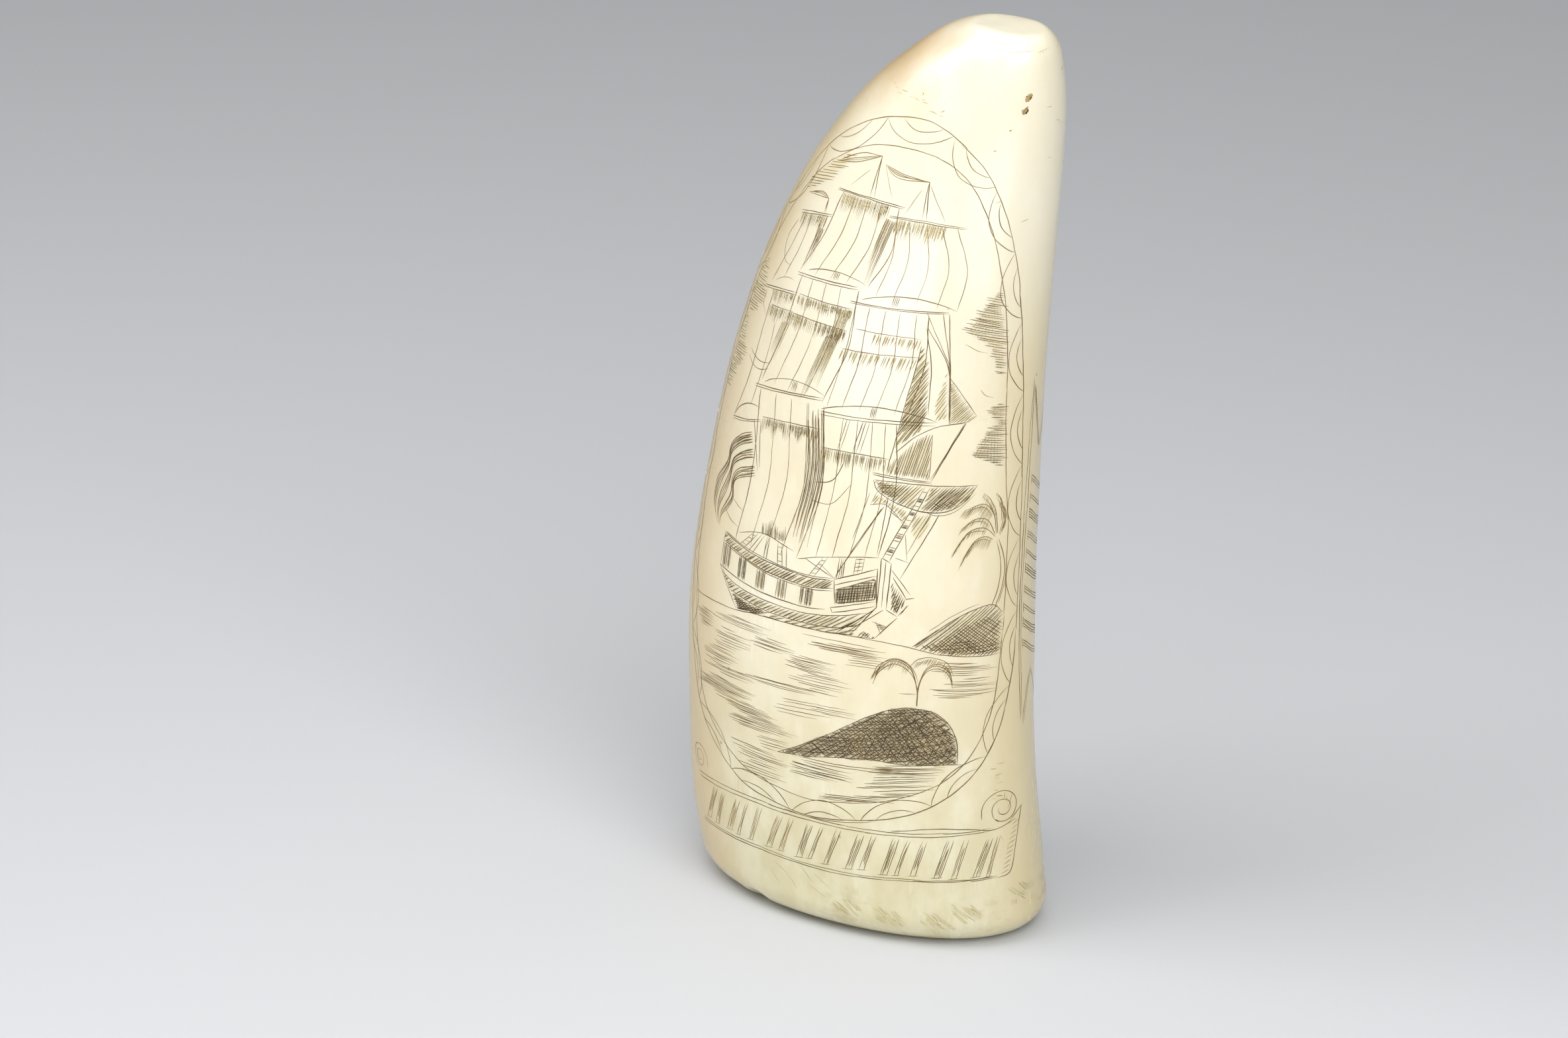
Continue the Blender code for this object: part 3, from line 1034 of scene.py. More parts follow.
def inside_runs(shape, start, end):
    """The stretches of a straight line that lie inside a closed shape, as pairs of shares."""
    hits = []
    for a, b in zip(shape, shape[1:] + shape[:1]):
        across = (end[0] - start[0]) * (b[1] - a[1]) - (end[1] - start[1]) * (b[0] - a[0])
        if abs(across) < 1e-9:
            continue
        t = ((a[0] - start[0]) * (b[1] - a[1]) - (a[1] - start[1]) * (b[0] - a[0])) / across
        u = ((a[0] - start[0]) * (end[1] - start[1]) - (a[1] - start[1]) * (end[0] - start[0])) / across
        if 0 <= u < 1:
            hits.append(t)
    hits.sort()
    return list(zip(hits[::2], hits[1::2]))


# Half the length of the straight line that a hatching pull is taken from
HATCH_REACH = 100


def hatch(shape, angle, gap=0.45, width=0.17, tone=0.2, ragged=0.25, wobble=0.035, film=1.1):
    """Fills a closed shape with side by side pulls at an angle, in degrees from level."""
    way = (math.cos(math.radians(angle)), math.sin(math.radians(angle)))
    side = (-way[1], way[0])
    spans = [x * side[0] + y * side[1] for x, y in shape]
    runs = [x * way[0] + y * way[1] for x, y in shape]
    middle = (min(runs) + max(runs)) / 2
    whole = 2 * HATCH_REACH
    at = min(spans) + gap * 0.5
    while at < max(spans):
        tilt = math.radians(needle.uniform(-1.6, 1.6))
        turned = (way[0] - side[0] * tilt, way[1] - side[1] * tilt)
        foot = (side[0] * at + way[0] * middle, side[1] * at + way[1] * middle)
        start = (foot[0] - turned[0] * HATCH_REACH, foot[1] - turned[1] * HATCH_REACH)
        end = (foot[0] + turned[0] * HATCH_REACH, foot[1] + turned[1] * HATCH_REACH)
        for t, u in inside_runs(shape, start, end):
            inner = [mix(start, end, t + 0.25 / whole), mix(start, end, u - 0.25 / whole)]
            t += needle.uniform(-ragged, ragged) / whole
            u += needle.uniform(-ragged, ragged) / whole
            if (u - t) * whole > 0.5:
                cut([mix(start, end, t), mix(start, end, u)], width, tone, (0.3, 0.8), wobble)
                rub(inner, gap * 1.7, tone + film, (0.4, 1.6))
        at += gap * needle.uniform(0.78, 1.22)


def ladder(left, right, rungs, width=0.17, tone=0.25):
    """Two lines that draw together, with rungs between them."""
    cut(left, width, tone, wobble=0.03)
    cut(right, width, tone, wobble=0.03)
    for k in range(rungs):
        share = (k + 0.7) / (rungs + 0.4)
        cut([mix(*left, share), mix(*right, share)], width * 0.9, tone, (0.2, 0.3), 0.02)


def straights(width, tone, *rows):
    """Straight pulls of one width and tone, each from x, y to x, y."""
    for row in rows:
        cut([row[:2], row[2:]], width, tone)


def between(first, last, share):
    """The path part of the way from one path to another."""
    return [mix(a, b, share) for a, b in zip(along(first, 40), along(last, 40))]


needle.seed(23)

# Pole masts, with their pennants and topmost stays
for top, feet, flag in (
    ((-4.8, 130.8), ((-4.1, 124.6), (-3.3, 124.6)), ((-12.6, 128), (-8.6, 130.4), (-8.4, 129))),
    ((4.2, 128.3), ((5.3, 122.4), (6, 122.4)), ((-3.6, 129.7), (-0.8, 128.1), (-0.6, 128.9))),
    ((-11.3, 122.4), ((-11.3, 120.2), (-11, 120.2)), ((-16.3, 122), (-13.4, 122.3), (-13, 123))),
):
    for foot in feet:
        cut([top, foot], 0.2, 0.18, wobble=0.03)
    tail, low, high = flag
    cut(curve(top, low, tail), 0.19, 0.3)
    cut(curve(top, high, tail), 0.19, 0.3)
    cut(curve(top, mix(low, high, 0.5), tail), 0.17, 0.38)
    cut(curve(top, mix(low, high, 0.75), tail), 0.15, 0.38)
straights(0.14, 0.45, (-5.7, 128.4, -8.2, 125.4), (-3.6, 129.6, -0.3, 124.9), (3.6, 126.9, 2.4, 122.7),
          (4.7, 127.7, 8.9, 122.3))

# Ensign
ensign_top = curve((-15.7, 82.4), (-18.3, 81.1), (-20.5, 78.8), (-20.9, 75.7), (-23.1, 72.2),
                   (-23.4, 68.2), (-21, 64.6))
ensign_low = curve((-13.8, 75.7), (-17.3, 74.2), (-18.4, 72.7), (-18, 70.3), (-18.9, 68.6), (-20.6, 66.7),
                   (-20.95, 64.7))
for band in ((0, 0.05, 0.1, 0.16, 0.22), (0.4, 0.45, 0.51, 0.57), (0.78, 0.83, 0.89, 0.95, 1)):
    for share in band:
        line = between(ensign_top, ensign_low, share)
        cut(part_of(line, 0, needle.uniform(0.8, 1)), 0.19, 0.2, (0.5, 2.5), 0.1)
        start = needle.uniform(0, 0.04)
        cut(part_of(line, start, needle.uniform(0.16, 0.3)), 0.17, 0.2, (0.3, 2), 0.08)
    for share in (band[1], band[3]):
        rub(part_of(between(ensign_top, ensign_low, share), 0.02, 0.55), 0.6, 1.15, (1, 4))
cut([(-15.7, 84.6), (-13.4, 76.4)], 0.2, 0.18)
cut([(-14.2, 84.8), (-13.2, 77.2)], 0.18, 0.24)
cut(curve((-17.9, 70.4), (-16.6, 69.6), (-15.2, 69)), 0.17, 0.28)
cut(curve((-19.9, 68.4), (-18.2, 67), (-16.2, 66.2)), 0.17, 0.28)

# Fore stays and the jibs on them
for a, b, c in (
    ((10.4, 107.9), (15.3, 99.8), (15.6, 99.4)), ((11, 105.6), (15.6, 98.6), (17.2, 89.8)),
    ((12.8, 107.9), (15.4, 99.9), (17.3, 89.9)), ((13.7, 107.8), (15.7, 99.4), (17.4, 89.9)),
):
    cut(curve(a, b, c), 0.18, 0.24)
cut(curve((10.9, 105.4), (12.8, 99.2), (13.9, 91.2)), 0.18, 0.26)
cut(curve((10.75, 102.4), (10.45, 97.1), (9.8, 89.3), (8.9, 80.8)), 0.19, 0.24)
hatch([(10.8, 102.6), (12.5, 99.6), (13.2, 95), (13.6, 91), (13, 88.4), (9.6, 85.4), (10.1, 93),
       (10.5, 97)], 62, 0.36, 0.17, 0.22)
hatch([(10.3, 93.6), (13, 95.2), (13.5, 91), (13, 88.8), (9.9, 88)], 57, 0.48, 0.17, 0.18)
cut([(15.9, 97.6), (21.2, 91.2)], 0.19, 0.22)
cut([(15.4, 99.6), (15.9, 97.6)], 0.18, 0.22)
cut([(17.3, 89.8), (20.4, 90.2)], 0.19, 0.2)
cut([(21.2, 91.2), (19.9, 90.1)], 0.18, 0.22)
hatch([(16, 97.4), (21, 91.2), (20, 90.2), (17.4, 89.9)], 47, 0.3, 0.15, 0.26)
hatch([(15.4, 98.4), (16.9, 90.6), (15.1, 90.3), (14.6, 92.5), (15.1, 95.6)], 64, 0.42, 0.15, 0.34)
cut(curve((9.9, 84.6), (12.6, 87.6), (15.8, 89.4), (19.8, 90)), 0.19, 0.22)
hatch([(9.2, 82.6), (12.6, 87), (15, 88.5), (15.5, 80.6), (9, 80.9)], 80, 0.33, 0.16, 0.22)
cut([(15.1, 88), (15.6, 80.5)], 0.16, 0.3)
cut([(19.8, 90), (15.9, 80.3)], 0.22, 0.12)
cut([(19.6, 89.9), (15.8, 80.6)], 0.18, 0.2)
bar([(6.8, 80.9), (11.2, 80.6), (16.1, 80.2)], 0.26, 0.2, 0.12)

# The spritsail under the bowsprit, darkest in its bag
sprit_low = curve((7.2, 79.8), (8, 78.2), (10, 76.9), (13, 75.8), (16.6, 75.2), (19.8, 75.7), (22, 77.4),
                  (23.2, 79.6))
sprit = [(7.2, 79.8), (15, 79.7), (23.2, 79.6)]
outline(sprit, 0.19, 0.2)
outline(sprit_low, 0.19, 0.2)
hatch([(7.2, 79.8), (15, 79.5), (13.6, 75.6), (12.2, 75.9), (10, 76.9), (8, 78.2)], 52, 0.4, 0.18, 0.2)
hatch([(16.3, 79.4), (23.2, 79.6), (22, 77.4), (19.8, 75.7), (16.6, 75.2), (15, 75.5)], 50, 0.36, 0.18,
      0.16)
hatch([(18, 79.2), (22.8, 79.2), (21.6, 77), (18.6, 75.6), (16.6, 75.5)], 46, 0.62, 0.18, 0.14)
cut(curve((15.9, 75.2), (17.7, 74.7), (20.5, 75.5), (23.1, 78.3)), 0.17, 0.26)
hatch([(16.4, 76.6), (20.6, 77.4), (20.2, 76.1), (17.6, 75.4)], -28, 0.3, 0.18, 0.06)
hatch([(7.6, 79.5), (10.6, 79.3), (11.6, 77.6), (9.6, 77.2), (8.2, 78.2)], 8, 0.3, 0.18, 0.12)
cut(curve((7.1, 75.6), (9.3, 75.9), (11.3, 74.5), (12.6, 72.9)), 0.17, 0.26)
cut([(8, 78), (7.1, 75.6)], 0.16, 0.28)
hatch([(7.9, 77.6), (10, 76.6), (13.4, 75.2), (12.6, 73.3), (11.3, 74.7), (9.3, 76), (7.3, 75.8)], 58,
      0.46, 0.15, 0.32)

# Bowsprit, with its bands of lashing
bowsprit = (((10.2, 66.9), (15.2, 79.4)), ((11.4, 66.7), (16, 79.3)))
ladder(*bowsprit, 10, 0.19, 0.18)
for share in (0.1, 0.3, 0.44, 0.62, 0.8):
    for k in range(4):
        turn = [mix(*edge, share + 0.012 * k) for edge in bowsprit]
        cut(turn, 0.17, 0.12, (0.1, 0.2), 0.02)
cut([(18, 74.9), (13.4, 63.8)], 0.18, 0.24)
cut([(16.7, 75.1), (13.9, 68)], 0.17, 0.3)
hatch([(14, 74.6), (17.2, 74.8), (15.4, 70.4), (14.2, 71)], 64, 0.46, 0.15, 0.36)
straights(0.17, 0.26, (9.4, 75.6, 3.2, 63.2), (9, 75.2, 2.8, 62.4), (9.8, 77.2, 9.3, 67.2),
          (6.9, 77.6, 5, 69.4), (10.2, 75, 13.4, 72.8), (13.2, 71.2, 14.1, 66.8),
          (12.2, 67.2, 14.4, 66.6))
engrave("engraved_rigging_and_flags")


# The hull: a broad sheer with slant-cut rails, a pale band of striped gun ports, a dark bilge,
# a chequered bow, and the stem and head timbers before it.

needle.seed(31)

rail_top = curve((-18.9, 64.3), (-14.4, 63.2), (-9.8, 62.4), (-4.6, 61.8), (-0.8, 61.7), (2.7, 62))
rail_low = curve((-18.8, 62.8), (-14.6, 61.8), (-9.6, 60.6), (-4.6, 60.1), (-0.8, 60), (2.8, 60.5))
port_low = curve((-19.4, 58.7), (-15.6, 57.8), (-10, 57), (-4.8, 56.6), (-1, 56.6), (1.8, 57))
wale_top = curve((-18.9, 57.6), (-14.8, 56.4), (-8.4, 55.6), (-1.6, 55.5), (3.8, 56.1), (8.9, 57.5))
wale_low = curve((-16.6, 55.3), (-11.8, 54.4), (-6.6, 53.9), (0.2, 53.8), (5.6, 54.5), (8.3, 56.3))
bilge = curve((-14.8, 52.4), (-9.8, 53), (-4, 53.1), (2, 53.1), (6.8, 53.4))

for rail in (rail_top, rail_low, port_low, wale_top, wale_low):
    outline(rail, 0.22, 0.16)
outline([(x + 0.2, y + 0.28) for x, y in rail_top], 0.18, 0.24)
outline([(x, y - 0.24) for x, y in rail_low], 0.18, 0.22)
outline(bilge, 0.2, 0.18)
hatch(rail_top + rail_low[::-1], 38, 0.42, 0.21, 0.12)
hatch(wale_top + wale_low[::-1], 34, 0.46, 0.2, 0.13)
hatch(wale_low[14:] + bilge[::-1][:38], 20, 0.5, 0.18, 0.18)
hatch([(-16.2, 55.1), (-13, 54.4), (-9.2, 53.9), (-10.4, 53.1), (-14.4, 52.6)], 12, 0.28, 0.2, 0.04)
hatch([(-16.2, 55.1), (-13, 54.4), (-8.8, 53.9), (-10, 53.1), (-14.4, 52.6)], 42, 0.32, 0.2, 0.04)
hatch([(-15.2, 54.6), (-12.6, 54), (-11.6, 53.2), (-14.2, 52.8)], -35, 0.34, 0.2, 0.04)
cut([(-18.9, 64.2), (-19.4, 58.7)], 0.2, 0.22)
outline([(-19.4, 58.7), (-17.2, 55.6), (-14.8, 52.4)], 0.22, 0.16)
outline([(-18.6, 58), (-16.6, 55.2)], 0.18, 0.24)

# Gun ports, each a few upright pulls close together: middle, half width and how many
for middle, half, bars in (
    (-18.2, 0.7, 4), (-14.3, 0.8, 5), (-10.3, 0.8, 5), (-6.2, 0.8, 5), (-1.8, 0.95, 6),
):
    high, low = [min(rail, key=lambda p: abs(p[0] - middle))[1] for rail in (rail_low, port_low)]
    for k in range(bars):
        x = middle - half + 2 * half * k / (bars - 1) + needle.uniform(-0.08, 0.08)
        if abs(x - middle) < half * 0.25:
            x += half * 0.22
        cut([(x + 0.1, high - 0.1), (x - 0.05, low + 0.1)], 0.19, 0.12, (0.3, 0.7), 0.05)
        if k % 2:
            rub([(x + 0.1, high - 0.3), (x - 0.05, low + 0.3)], 0.9, 1.05, (0.4, 0.6))

# Bow
bow_panel = [(3.4, 60.6), (9.5, 63.3), (9.9, 59.9), (3.6, 58.2)]
outline(bow_panel + bow_panel[:1], 0.22, 0.12)
hatch(bow_panel, 87, 0.42, 0.19, 0.08)
hatch(bow_panel, 13, 0.42, 0.19, 0.08, film=0.9)
hatch([(3.5, 60.4), (7, 61.9), (7.2, 59.2), (3.6, 58.3)], 87, 0.46, 0.19, 0.06)
straights(0.21, 0.17, (3, 62.2, 9.7, 65.1), (3.1, 61.3, 9.7, 63.9), (2.7, 57.4, 9.9, 59.5),
          (3.1, 56.6, 9.9, 58.7), (2.7, 57.4, 3.1, 56.5), (2.9, 62.2, 3.4, 58), (9.7, 65.1, 10.1, 58.6))

# Stem, head timbers and figurehead block
straights(0.2, 0.19, (10.1, 66.9, 10.2, 58.4), (10.8, 66.4, 11, 58.6), (11.7, 66.2, 11.7, 58.5),
          (10.1, 66.9, 11.7, 66.2), (11.9, 65.2, 15.2, 61.2), (12.2, 63.9, 14.8, 60.3),
          (11.7, 58.4, 13.6, 57.4), (13.6, 57.6, 15.2, 59.6), (11.3, 58.3, 5, 53.2),
          (9.8, 58.2, 3.8, 53.1), (10.3, 58.8, 6.2, 53.3), (13.6, 57.2, 10.2, 53.3),
          (13.2, 56.8, 11, 54.2), (14.6, 60.4, 16, 60.7), (14.9, 59.4, 13.9, 57.7),
          (10.2, 53.3, 7, 53.3))
hatch([(12.1, 63), (14.6, 60.2), (13.6, 57.7), (12.5, 58.3)], 74, 0.32, 0.2, 0.1)
hatch([(12.3, 62.4), (13.8, 60.4), (13.4, 58), (12.6, 58.4)], 40, 0.5, 0.18, 0.14)
hatch([(8.4, 54.4), (10.2, 53.4), (7.4, 53.3)], 50, 0.34, 0.19, 0.08)
hatch([(8.4, 54.5), (10, 53.4), (7.6, 53.3)], -40, 0.34, 0.19, 0.08)
hatch([(10, 56), (12.2, 55.6), (11.4, 54.6)], 8, 0.38, 0.18, 0.18)
cut([(9.6, 56.2), (12.4, 55.4)], 0.18, 0.2)
cut([(10.2, 56.2), (11.2, 54.2)], 0.18, 0.2)

# Shrouds, boats' falls and ladders between the rail and the feet of the sails
ladder(((-15.2, 63.6), (-12.6, 66.3)), ((-14.2, 63.3), (-11.7, 66.4)), 4)
ladder(((-13.2, 63), (-10.9, 66.5)), ((-12.4, 62.9), (-10.3, 66.5)), 0)
ladder(((-10.1, 62.7), (-9.8, 66.4)), ((-9.6, 62.6), (-9.2, 66.4)), 0, 0.21, 0.12)
ladder(((-7.3, 62.2), (-7.7, 66.2)), ((-6.4, 62.2), (-6.9, 66.1)), 3)
cut([(-5.6, 62.1), (-6, 65.9)], 0.18, 0.2)
ladder(((-1.6, 61.9), (0.6, 65.4)), ((-0.6, 61.9), (1.4, 65.6)), 4)
cut([(-2.6, 64.7), (2.8, 62.4)], 0.18, 0.2)
cut([(-0.2, 64.6), (3.2, 62.2)], 0.16, 0.28)
for k in range(4):
    cut([(3.2 + 0.34 * k, 62.4 + 0.1 * k), (3.4 + 0.32 * k, 66)], 0.2, 0.12, wobble=0.05)
ladder(((5.9, 63.6), (6.1, 66.6)), ((7.2, 64.1), (7.4, 66.8)), 4)
cut([(6.6, 63.8), (6.7, 66.7)], 0.16, 0.26)
engrave("engraved_hull")


# Sky and sea: banks of level pulls that fade out at their ends, for cloud beside the border
# and for the ripples of the sea below the horizon.

def bank(left, right, top, low, count, tilt, width, tone):
    """Level pulls one above another, longest at the middle of the bank."""
    for k in range(count):
        share = min(1, max(0, (k + needle.uniform(-0.25, 0.25)) / max(1, count - 1)))
        y = top + (low - top) * share
        loose = 0.14 + 0.3 * abs(2 * share - 1)
        a = left + (right - left) * needle.uniform(0, loose)
        b = right - (right - left) * needle.uniform(0, loose)
        rise = tilt * (b - a)
        sag = needle.uniform(-0.01, 0.014) * (b - a)
        path = curve((a, y - rise / 2), ((a + b) / 2, y + sag), (b, y + rise / 2))
        cut(path, width, tone, (1.2, 3))


needle.seed(41)

# Cloud, in ragged banks that end on the border
for side, angle, gap, tone, *edge in (
    (1, -14, 0.38, 0.46, (19.9, 111.2), (18.4, 108.6), (16.6, 105.2), (20.6, 102.8), (21.4, 101.2),
     (22.4, 99), (23.6, 97.6)),
    (1, -9, 0.4, 0.34, (24, 92.8), (23, 91.8), (24.4, 89.6), (22.4, 87.4), (21.2, 84.8), (24.2, 83.4),
     (26.6, 82)),
    (-1, 3, 0.5, 0.4, (-21, 110), (-20.4, 107.6), (-19, 103.4), (-21.4, 100.6)),
    (-1, 4, 0.5, 0.38, (-23.2, 99.8), (-21.9, 97.4), (-21, 94), (-22.6, 90.4), (-24.6, 87.2)),
    (-1, 12, 0.5, 0.38, (-11.6, 129.6), (-9.6, 129.8), (-10.2, 127.4), (-13, 124.6), (-16.6, 122.4)),
):
    high, low = edge[0][1], edge[-1][1]
    levels = [low + (high - low) * k / 7 for k in range(8)]
    back = [(ring_side(inner_ring, y, side) - 0.2 * side, y) for y in levels]
    hatch(edge + back, angle, gap * 0.88, 0.185, tone - 0.14, 0.8)
cut(curve((17.2, 103), (19.2, 101.9), (21, 101.4)), 0.15, 0.5)
cut(curve((21, 95.4), (22, 94.4), (23.4, 94)), 0.14, 0.55)

# Horizon
outline(curve((-26.2, 51.6), (-20.4, 51.9), (-14.8, 52.3), (-10, 53.1)), 0.2, 0.28)
outline(curve((-9.2, 53), (0.4, 53), (8.4, 53.1), (15, 52.4), (21, 51.2), (26, 50.7), (30.5, 50.6)), 0.2,
        0.22)
outline(curve((-1.8, 52), (4.8, 51.9), (10.6, 51.7)), 0.16, 0.36)

# Ripples: left end, right end, top, foot, how many, and slope
for ripples in (
    (-20.4, -7.4, 51.2, 49.6, 6, -0.01), (-12, -2.6, 49.4, 47.6, 6, -0.04),
    (-25.4, -19.4, 49.8, 46.9, 10, -0.03), (-20.2, -11, 48.4, 45.2, 8, 0.02),
    (-5.6, 4.6, 47.9, 45.6, 10, -0.03), (-4.4, 7.4, 45.4, 42.4, 8, -0.01),
    (-0.8, 12.6, 51.2, 50, 8, -0.02), (5.4, 13, 49.9, 48.2, 5, 0.01), (-23.4, -13.4, 44.6, 42, 8, 0.02),
    (-22.8, -10, 41.8, 40.4, 5, 0.02), (-14.8, 5.4, 42.4, 41.6, 4, 0.02),
    (-7.2, 5.6, 40.2, 37.6, 5, 0.05), (0, 8.6, 40.3, 38.9, 4, 0.03),
    (-24.8, -10.2, 39.4, 36.6, 12, -0.02), (-19.4, -4.8, 36.8, 35, 8, -0.02),
    (-16.8, -1.2, 34.8, 32.8, 9, 0.01), (-11, -3.2, 32.2, 30.2, 5, 0.02),
    (19.4, 30.2, 49.9, 47.6, 8, -0.04), (21.4, 30.3, 47, 45.8, 4, -0.03),
    (19.2, 30.3, 45.6, 43.9, 6, -0.05), (14.4, 17.6, 44.4, 44.2, 1, 0),
):
    bank(*ripples, 0.168, 0.34)
for ripples in (
    (-16.8, -3, 29.6, 27.6, 6, -0.02), (-15.2, -4.6, 27.2, 24.8, 6, -0.01),
    (-4.4, 8.4, 29.6, 27.4, 8, -0.03), (7.4, 20.6, 29.8, 26.4, 10, 0.12),
    (9.2, 22.2, 31.8, 30, 8, 0.06), (3.8, 14, 25.9, 24.7, 5, 0.08), (0.4, 10, 25.2, 24.3, 4, 0.06),
    (-2.6, 22, 30.9, 30.4, 2, 0.03), (10, 15.6, 31.2, 30.5, 5, 0.02),
):
    bank(*ripples, 0.172, 0.28)
engrave("engraved_sky_and_sea")


# The whale: a great blunt head rising out of the sea, filled black with three ways of close
# cross-hatching, and a forked spout above it.

needle.seed(53)

whale_back = curve((-6.2, 30.2), (-2.8, 31.9), (2, 34.8), (6.4, 37.6), (10.2, 40), (13.6, 41.5), (17, 42),
                   (20, 41.4), (22.2, 39.6), (23.6, 36.9), (23.9, 34.4), (23.8, 32.4))
whale_low = curve((-6.2, 30.2), (-1, 30.8), (4.6, 31.8), (10.6, 32.3), (17.4, 32.2), (23.8, 32.4))
whale = whale_back + whale_low[::-1]
outline(whale_back, 0.22, 0.14)
outline(whale_low, 0.17, 0.22)
outline(curve((8, 32.6), (15.2, 32), (20, 32.2), (25.2, 32.2)), 0.18, 0.24)
for angle, gap, tone in ((35, 0.47, 0.06), (-38, 0.5, 0.06), (8, 0.56, 0.08)):
    hatch(whale, angle, gap, 0.18, tone, 0.3, 0.06, 0.84)
whale_dark = curve((4, 33), (9.6, 37.4), (14.2, 40.4), (18.8, 40.6), (22.6, 37.4), (23.2, 33.4),
                   (14, 32.8), (4, 33))
hatch(whale_dark, 64, 0.74, 0.17, 0.08, 0.6, 0.06, 0.74)
hatch(whale_dark, -62, 1, 0.17, 0.08, 0.6, 0.06, 0.74)

# Spout
for rise in (0, 0.5, 0.9):
    left_jet = curve((17.4, 42.4), (17.4, 45.4), (16.2, 48.2 + rise), (13.6, 49.4 + rise),
                     (11.4, 47.8 + rise), (10.4, 45.6))
    right_jet = curve((17.5, 42.4), (17.6, 45.6), (18.6, 48.2 + rise * 0.6), (20.4, 48.9 + rise),
                      (22.2, 47.8 + rise), (22.9, 45.4 + rise))
    cut(left_jet, 0.17, 0.34)
    cut(right_jet, 0.17, 0.34)
shade(curve((10.4, 47.4), (12, 49.2), (14.4, 50.2), (16.2, 49.4)), 1.9, 0.38, 0.16, 0.34, -0.45)
shade(curve((17.4, 50), (19.6, 50.6), (21.6, 49.8), (22.8, 48.4)), 1.5, 0.38, 0.16, 0.34, -0.55)
cut(curve((16.2, 49.2), (17.2, 50.4), (19.4, 50.8), (21.8, 49.9), (23, 47.6)), 0.17, 0.28)
cut(curve((10.3, 46.6), (11.2, 48.9), (13.8, 50.2), (16.4, 49), (17.6, 46.2)), 0.17, 0.28)
engrave("engraved_whale_and_spout")


# The headland and its palm: a low hill behind the ship, cross-hatched dark, with one palm tree
# that leans against the border.

needle.seed(61)

hill_top = curve((16.2, 52.5), (19, 54.8), (22.2, 57.2), (25.6, 58.8), (28.4, 59.2), (30.3, 57.6))
hill_low = curve((16.2, 52.5), (19.6, 51.6), (24.6, 50.9), (30.4, 50.7))
hill = hill_top + hill_low[::-1]
hill_dark = [(17.4, 52.6), (20.6, 53.6), (24, 56), (27.4, 57.4), (30.3, 56), (30.3, 50.9), (22, 51.4)]
outline(hill_top, 0.2, 0.22)
outline([(x - 0.4, y + 0.5) for x, y in hill_top[10:34]], 0.16, 0.34)
hatch(hill, 41, 0.43, 0.19, 0.14)
hatch(hill_dark, -38, 0.42, 0.19, 0.1, film=0.95)
hatch([(18.4, 52.4), (23.6, 53.6), (30.3, 53.4), (30.3, 50.9), (22, 51.4)], 4, 0.5, 0.19, 0.1)
hatch([(19, 52.2), (26, 53), (28, 51.2), (22, 51.4)], 75, 0.6, 0.18, 0.08)

# Palm
cut(curve((28.1, 58.8), (29, 62.4), (28.9, 66.2), (27.6, 70)), 0.2, 0.22)
cut(curve((28.8, 58.4), (29.7, 62.6), (29.5, 66.4), (28, 70.2)), 0.2, 0.22)
cut(curve((29.3, 59.4), (30.1, 63), (29.8, 65.4)), 0.16, 0.34)
for rib, start, fall, lean, gap in (
    (curve((27.3, 70.6), (25.2, 72.4), (22.8, 71.8), (21, 68.4)), 0.25, 1.5, -0.3, 0.44),
    (curve((27, 70.3), (25.6, 70.9), (24, 70.2), (22.6, 67.4)), 0.05, 2.3, -0.3, 0.34),
    (curve((27.2, 71), (25.6, 73.6), (23.6, 74), (21.6, 72.4)), 0.3, 1.4, -0.35, 0.4),
    (curve((27.4, 71.2), (26.4, 74.6), (24.6, 76.4), (21.8, 75.6)), 0.4, 2, -0.55, 0.36),
    (curve((27.6, 71.2), (26.9, 74.6), (25.6, 77), (24.4, 78.2)), 0.45, 1.2, -0.2, 0.5),
    (curve((27.9, 71), (28.2, 73.6), (27.6, 76.4), (26.4, 78)), 0.35, 0.8, 0.25, 0.6),
    (curve((28, 70.8), (28.6, 73), (28.5, 74.6), (27.2, 76.6)), 0.2, 1.2, 0.1, 0.55),
):
    cut(rib, 0.17, 0.3)
    cut([(x - 0.25, y - 0.45) for x, y in part_of(rib, start, 0.94)], 0.15, 0.38)
    shade(part_of(rib, start, 0.98), fall, gap * 0.9, 0.16, 0.36, lean, 0.6)
engrave("engraved_headland_and_palm")


# The banner at the root: a plain scroll between double lines with a rolled end, filled with a
# row of slanted double strokes that spell nothing.

needle.seed(71)

for height, tone in ((20.35, 0.3), (19.85, 0.36)):
    rail = curve((-25.6, height - 0.5), (-14, height + 0.1), (0, height - 0.2), (15, height - 0.1),
                 (29, height + 0.6))
    outline(rail, 0.19, tone, 22, slip=0.14)
for height, tone in ((11.85, 0.26), (12.15, 0.34)):
    rail = curve((-25.4, height - 0.3), (-12, height - 0.1), (2, height - 0.4), (16, height + 0.1),
                 (29.6, height + 0.5))
    outline(rail, 0.19, tone, 22, slip=0.12)
outline(curve((13, 20.4), (20, 21.2), (26, 21), (29.4, 20.4), (33.8, 21.3)), 0.18, 0.3)

# Rolled ends
for centre, size, turn, tone, width in (
    ((31.3, 23.7), 4, 1, 0.24, 0.2), ((-25.2, 22.6), 2.9, -1, 0.56, 0.17),
):
    roll = []
    for n in range(61):
        angle = math.radians(200) - math.radians(760) * n / 60
        radius = size * (1 - 0.8 * (n / 60) ** 0.72)
        x = centre[0] + turn * radius * math.cos(angle)
        roll.append((x, centre[1] + radius * 0.92 * math.sin(angle)))
    outline(roll, width, tone)
    for n in (12, 26):
        cut([roll[n], mix(roll[n], (centre[0], centre[1] - 2.6), 0.5)], width * 0.8, tone + 0.06)
cut(curve((35.3, 23.2), (34.4, 20.4), (33.2, 16.4), (32, 12.8), (29.6, 12.1)), 0.2, 0.28)
cut(curve((35.3, 23.2), (33.6, 22), (32.2, 21)), 0.19, 0.28)
